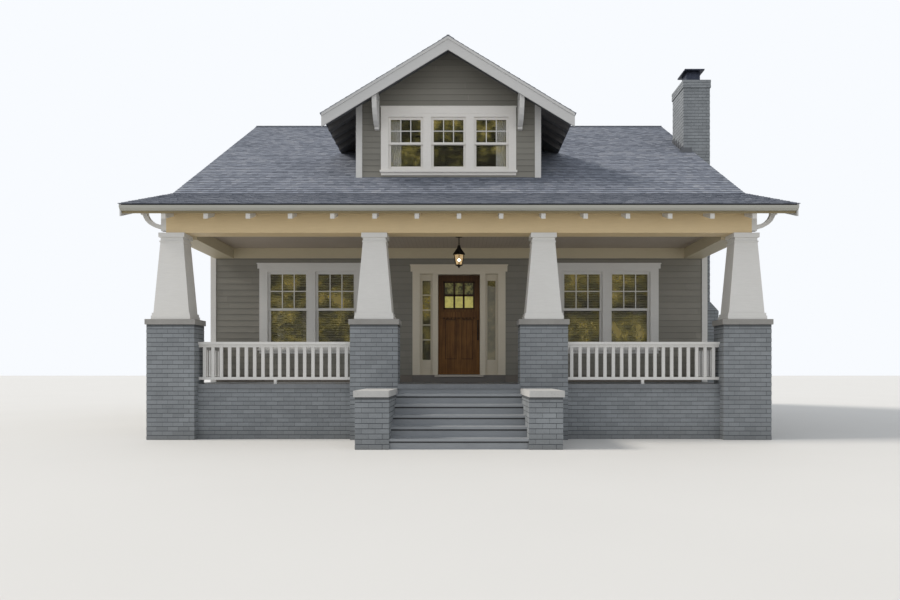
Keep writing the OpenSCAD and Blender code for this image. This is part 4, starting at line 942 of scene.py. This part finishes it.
def lay_boards():
    boards = Covering("lap_boards", "siding", "siding")
    unit = wedge_unit("lap_board", BOARD_L - UNIT_GAP, LAP + LAP_OVER, LAP_BUTT, LAP_TIP)

    def wall(origin, right, width, height, openings=(), planes=()):
        rows, columns = math.ceil(height / LAP), math.ceil(width / BOARD_L) + 1
        boards.lay(Face(origin, right, Z, width), unit, columns, rows, BOARD_L, LAP, slip=1.0,
                   start=(-BOARD_L, 0), limits=((0, -1), (width, height)), openings=openings, planes=planes)

    inset, gap = CORNER_BOARD_W, DECK_T + 0.002
    front_top = (Vector((0, BREAK_Y, BREAK_Z - gap)), Vector((0, -SLOPE, 1)))
    rear_top = (Vector((0, RIDGE_Y, RIDGE_Z - gap)), Vector((0, SLOPE, 1)))

    start = Vector((-HALF_W + inset, 0, BOARDS_FOOT_Z))
    width = 2 * (HALF_W - inset)
    holes = row_holes("front", start, start.z)
    holes.append(((-DOOR_CASING_X - start.x, -0.1), (DOOR_CASING_X - start.x, DOOR_TOP - start.z)))
    wall(start, X, width, CEILING_Z - FRIEZE_H - start.z, holes)

    for name, x, y, right in (("right", HALF_W, inset, Y), ("left", -HALF_W, HOUSE_D - inset, -Y)):
        start = Vector((x, y, BASE_Z))
        wall(start, right, HOUSE_D - 2 * inset, RIDGE_Z - BASE_Z, row_holes(name, start, BASE_Z),
             (front_top, rear_top))
    start = Vector((HALF_W - inset, HOUSE_D, BASE_Z))
    wall(start, -X, width, roof_z(HOUSE_D) - gap - BASE_Z, row_holes("rear", start, BASE_Z))

    gable_low, gable_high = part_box("porch_gables")
    height = gable_high.z - gable_low.z
    porch_top = (Vector((0, BREAK_Y, BREAK_Z - gap)), Vector((0, -PORCH_SLOPE, 1)))
    depth = gable_high.y - gable_low.y
    for x, right, y in ((gable_high.x, Y, gable_low.y), (gable_low.x, -Y, gable_high.y)):
        wall(Vector((x, y, gable_low.z)), right, depth, height, (), (porch_top, front_top))

    base = roof_z(DORMER_Y)
    low_x, board = DORMER_X - DORMER_HALF, DORMER_BOARD_W
    start = Vector((low_x + board, DORMER_Y, base))
    slopes = [(Vector((DORMER_X, 0, DORMER_RIDGE_Z - gap)), Vector((side * DORMER_SLOPE, 0, 1)))
              for side in (-1, 1)]
    width = 2 * (DORMER_HALF - board)
    wall(start, X, width, DORMER_RIDGE_Z - base, row_holes("dormer", start, base), slopes)
    buried = (Vector((0, BREAK_Y, BREAK_Z)), Vector((0, SLOPE, -1)))
    deep = RIDGE_Y - DORMER_Y - board
    side_top = dormer_z(DORMER_X + DORMER_HALF) - gap - base
    wall(Vector((DORMER_X + DORMER_HALF, DORMER_Y + board, base)), Y, deep, side_top, (), (buried,))
    wall(Vector((low_x, RIDGE_Y, base)), -Y, deep, side_top, (), (buried,))
    boards.done()


def add_window_bars():
    """Three columns and two rows of panes in each upper sash."""
    bm = bmesh.new()
    bar, deep, set_back = 0.020, 0.016, 0.002
    for _, foot, right, count, width, height, post, _, _ in window_rows():
        matrix = Face(foot, right, Z, width).matrix
        inset = JAMB_W + SASH_W
        w0 = -row_width(count, width, post) / 2
        low, high = height / 2 + SASH_W / 2, height - inset
        glass = -(RECESS + SASH_T / 2)
        for i in range(count):
            left = w0 + i * (width + post) + inset
            wide = width - 2 * inset
            for share in (1 / 3, 2 / 3):
                u = left + wide * share
                add_block(bm, (u - bar / 2, low, glass), (u + bar / 2, high, glass + deep), matrix)
            v = (low + high) / 2
            add_block(bm, (left, v - bar / 2, glass),
                      (left + wide, v + bar / 2, glass + deep - set_back), matrix)
    add_piece("window_bars", bm, FINISHES["trim"])


def add_blinds():
    """Slatted blinds behind the ground storey windows."""
    slat, thick, half_deep, half_high = 0.052, 0.003, 0.015, 0.019
    gap, behind = 0.010, 0.140
    section = [(-half_deep, half_high), (thick - half_deep, half_high),
               (half_deep, -half_high), (half_deep - thick, -half_high)]
    unit = hidden_unit("slat", prism(*[[(x, *p) for p in section] for x in (0, 1)]))
    blinds = Covering("window_blinds", "blind", "trim")
    for wall, foot, right, count, width, height, post, _, _ in window_rows():
        if wall == "dormer" or height < WINDOW_H:
            continue
        wide, tall = (size - 2 * (JAMB_W + gap) for size in (width, height))
        unit.data.transform(Matrix.Scale(wide / max(v.co.x for v in unit.data.vertices), 4, X))
        for i in range(count):
            u = -row_width(count, width, post) / 2 + i * (width + post) + JAMB_W + gap
            origin = foot + right * u - right.cross(Z) * behind + Z * (JAMB_W + 2 * gap)
            blinds.lay(Face(origin, right, Z, wide), unit, 1, int(tall / slat), 0, slat)
    blinds.done()


def add_curtains():
    """Two gathered curtains at the outer edges of the dormer's outer windows."""
    full = row_width(3, DORMER_WINDOW_W, DORMER_POST_W)
    wide, tall, inset, behind = 0.23, DORMER_WINDOW_H - 0.10, 0.07, 0.175
    steps, levels, folds, depth = 48, 12, 5.5, 0.014
    for name, way in (("left_curtain", 1), ("right_curtain", -1)):
        edge = way * (inset - full / 2)
        bm = bmesh.new()
        rings = []
        for j in range(levels + 1):
            z = DORMER_WINDOW_Z + 0.05 + tall * j / levels
            swell = depth * (1.25 - 0.5 * j / levels)
            row = []
            for i in range(steps + 1):
                t = i / steps
                x = DORMER_X + edge + way * wide * t
                y = DORMER_Y + behind + swell * math.sin(t * folds * math.tau + 0.4 * math.sin(j * 0.5))
                row.append(bm.verts.new((x, y, z)))
            rings.append(row)
        for a, b in zip(rings, rings[1:]):
            for i in range(steps):
                bm.faces.new((a[i], a[i + 1], b[i + 1], b[i]))
        piece = add_piece(name, bm, FINISHES["curtain"])
        piece.data.shade_smooth()


def border(x0, x1, z0, z1, wide):
    """Four strips along the inside of a rectangle, each as x0, x1, z0, z1."""
    return [(x0, x0 + wide, z0, z1), (x1 - wide, x1, z0, z1),
            (x0, x1, z0, z0 + wide), (x0, x1, z1 - wide, z1)]


def add_door_details():
    """Bars over the door's lights, blocks under its shelf and mouldings round its lights and panels."""
    low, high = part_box("door_leaf")
    glass_low, glass_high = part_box("door_glass")
    front, rear = high.y - 0.045, high.y
    bars, blocks = bmesh.new(), bmesh.new()
    deep, edge, upright, rail, seat = 0.012, 0.032, 0.042, 0.044, 0.0002
    x0, x1, z0, z1 = glass_low.x, glass_high.x, glass_low.z, glass_high.z
    strips = border(x0, x1, z0, z1, edge)
    for share in (1 / 3, 2 / 3):
        x = x0 + edge + (x1 - x0 - 2 * edge) * share
        strips.append((x - upright / 2, x + upright / 2, z0 + edge, z1 - edge))
    z = (z0 + z1) / 2
    strips.append((x0 + edge, x1 - edge, z - rail / 2, z + rail / 2))
    for u0, u1, v0, v1 in strips:
        for y in (glass_low.y - deep, glass_high.y + seat):
            add_block(bars, (u0, y, v0), (u1, y + deep - seat, v1))
    add_piece("door_bars", bars, FINISHES["bar_wood"], "door")

    shelf_z, shelf_w = low.z + 1.220, 0.720
    count, block, reach, drop = 9, 0.034, 0.024, 0.030
    for i in range(count):
        x = -shelf_w / 2 + shelf_w * (i + 0.5) / count
        add_block(blocks, (x - block / 2, front - reach, shelf_z - drop), (x + block / 2, front, shelf_z))
    panel_w, panel_z0, panel_z1 = 0.245, low.z + 0.325, low.z + 1.185
    bead, bead_deep = 0.016, 0.010
    for x in (-0.300, 0.055):
        for y in (front + 0.002, rear - 0.012):
            for u0, u1, v0, v1 in border(x, x + panel_w, panel_z0, panel_z1, bead):
                add_block(blocks, (u0, y, v0), (u1, y + bead_deep, v1))
    add_piece("door_mouldings", blocks, FINISHES["bead_wood"], "door")


def add_lamp():
    low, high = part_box("lantern_glass")
    bm = bmesh.new()
    bmesh.ops.create_uvsphere(bm, u_segments=20, v_segments=12, radius=0.024)
    for vert in bm.verts:
        vert.co.z *= 1.35
    bmesh.ops.translate(bm, vec=(low + high) / 2, verts=bm.verts)
    add_piece("lamp", bm, FINISHES["glow"]).data.shade_smooth()


def add_sidelight_bars():
    """Cross bars over the glass of the sidelight on the left."""
    bm = bmesh.new()
    front, rear, half = 0.079, 0.092, 0.011
    for z in (2.85, 2.53, 2.21, 1.89):
        add_block(bm, (-SIDELIGHT_X - SIDELIGHT_W, front, z - half), (-SIDELIGHT_X, rear, z + half))
    add_piece("sidelight_bars", bm, FINISHES["entry"])


def add_flashing():
    """Lead at the chimney's foot: an apron in front and steps up the roof beside it."""
    bm = bmesh.new()
    (x0, y0), (_, y1) = STACK_LOW, STACK_HIGH
    near, far, dip, z = 0.007, 0.012, 0.02, roof_z(y0)
    add_block(bm, (x0 - 0.07, y0 - far, z - dip), (ROOF_HALF - 0.01, y0 - near, z + 0.13))
    steps, lap, rise = 5, 0.03, 0.09
    for i in range(steps):
        a, b = (y0 + (y1 - y0) * k / steps for k in (i, i + 1))
        face = x0 - near - 0.0004 * (i % 2)
        add_block(bm, (x0 - far, a, roof_z(a) - dip), (face, b + lap, roof_z(b) + rise))
    add_piece("lead_flashing", bm, FINISHES["lead"])


def add_ridge_caps():
    """Folded shingles along both ridges."""
    bm = bmesh.new()
    pitch, cap_l, wing, thick, rise, tilt = 0.15, 0.19, 0.13, 0.007, 0.012, 0.008

    def ridge(start, along, length, slope, side):
        count = round(length / pitch)
        across, back = (way * wing - Z * wing * slope for way in (side, -side))
        for i in range(count):
            foot = start + along * (length * i / count)
            ends = (foot + Z * (rise + tilt), foot + along * cap_l + Z * rise)
            upper = [[bm.verts.new(p) for p in (end + across, end, end + back)] for end in ends]
            lower = [[bm.verts.new(v.co - Z * thick) for v in ring] for ring in upper]
            for k in (0, 1):
                bm.faces.new((upper[0][k], upper[0][k + 1], upper[1][k + 1], upper[1][k]))
                bm.faces.new((lower[0][k + 1], lower[0][k], lower[1][k], lower[1][k + 1]))
                for end in (0, 1):
                    bm.faces.new((upper[end][k], upper[end][k + 1], lower[end][k + 1], lower[end][k]))
            for k in (0, 2):
                bm.faces.new((upper[0][k], upper[1][k], lower[1][k], lower[0][k]))

    ridge(Vector((-ROOF_EDGE, RIDGE_Y, RIDGE_Z)), X, 2 * ROOF_EDGE - 0.04, SLOPE, Y)
    start = Vector((DORMER_X, DORMER_EDGE_Y, DORMER_RIDGE_Z))
    ridge(start, Y, RIDGE_Y - DORMER_EDGE_Y - 0.1, DORMER_SLOPE, X)
    bmesh.ops.recalc_face_normals(bm, faces=bm.faces)
    add_piece("ridge_caps", bm, FINISHES["shingle"])


def set_stage():
    """A pale floor, a pale world and one soft sun."""
    bm = bmesh.new()
    bmesh.ops.create_grid(bm, x_segments=1, y_segments=1, size=200)
    floor = place_object("studio_floor", mesh_of("studio_floor", bm))
    f = Finish("studio_floor")
    floor.data.materials.append(f.surface(f.mix(f.noise(0.3), (0.60, 0.60, 0.59), (0.63, 0.63, 0.62)), 0.9))

    world = bpy.data.worlds.new("studio")
    world.use_nodes = True
    g = Graph(world.node_tree)
    g.tree.nodes.clear()
    seen, glossy, through = (g.node("ShaderNodeLightPath", out=f"Is {ray} Ray")
                             for ray in ("Camera", "Glossy", "Transmission"))
    shown = seen.maths("MAXIMUM", seen, glossy.maths("MAXIMUM", glossy, through))
    inputs = {"Color": (0.94, 0.965, 1.0, 1), "Strength": 0.80 + shown * 0.20}
    background = g.node("ShaderNodeBackground", inputs=inputs)
    g.node("ShaderNodeOutputWorld", inputs={"Surface": background})
    bpy.context.scene.world = world

    sun = bpy.data.lights.new("soft_key", "SUN")
    sun.energy, sun.angle, sun.color = 2.7, math.radians(14), (1.0, 0.93, 0.84)
    lamp = place_object("soft_key", sun)
    lamp.rotation_euler = Vector((1.0, 0.06, -0.80)).to_track_quat("-Z", "Y").to_euler()


def place_camera():
    data = bpy.data.cameras.new("from_the_path")
    data.sensor_width = SENSOR_W
    data.lens = FOCAL_PX * SENSOR_W / PICTURE_W
    data.shift_x, data.shift_y = SHIFT
    data.clip_end = 400
    camera = place_object("from_the_path", data)
    camera.location = EYE
    camera.rotation_euler = (math.radians(90), 0, 0)
    bpy.context.scene.camera = camera


place_camera()
set_stage()
finish_nodes()
lay_bricks()
lay_boards()
lay_shingles()
add_ridge_caps()
add_window_bars()
add_blinds()
add_curtains()
add_door_details()
add_lamp()
add_sidelight_bars()
add_flashing()
bpy.context.scene.view_settings.view_transform = "Standard"
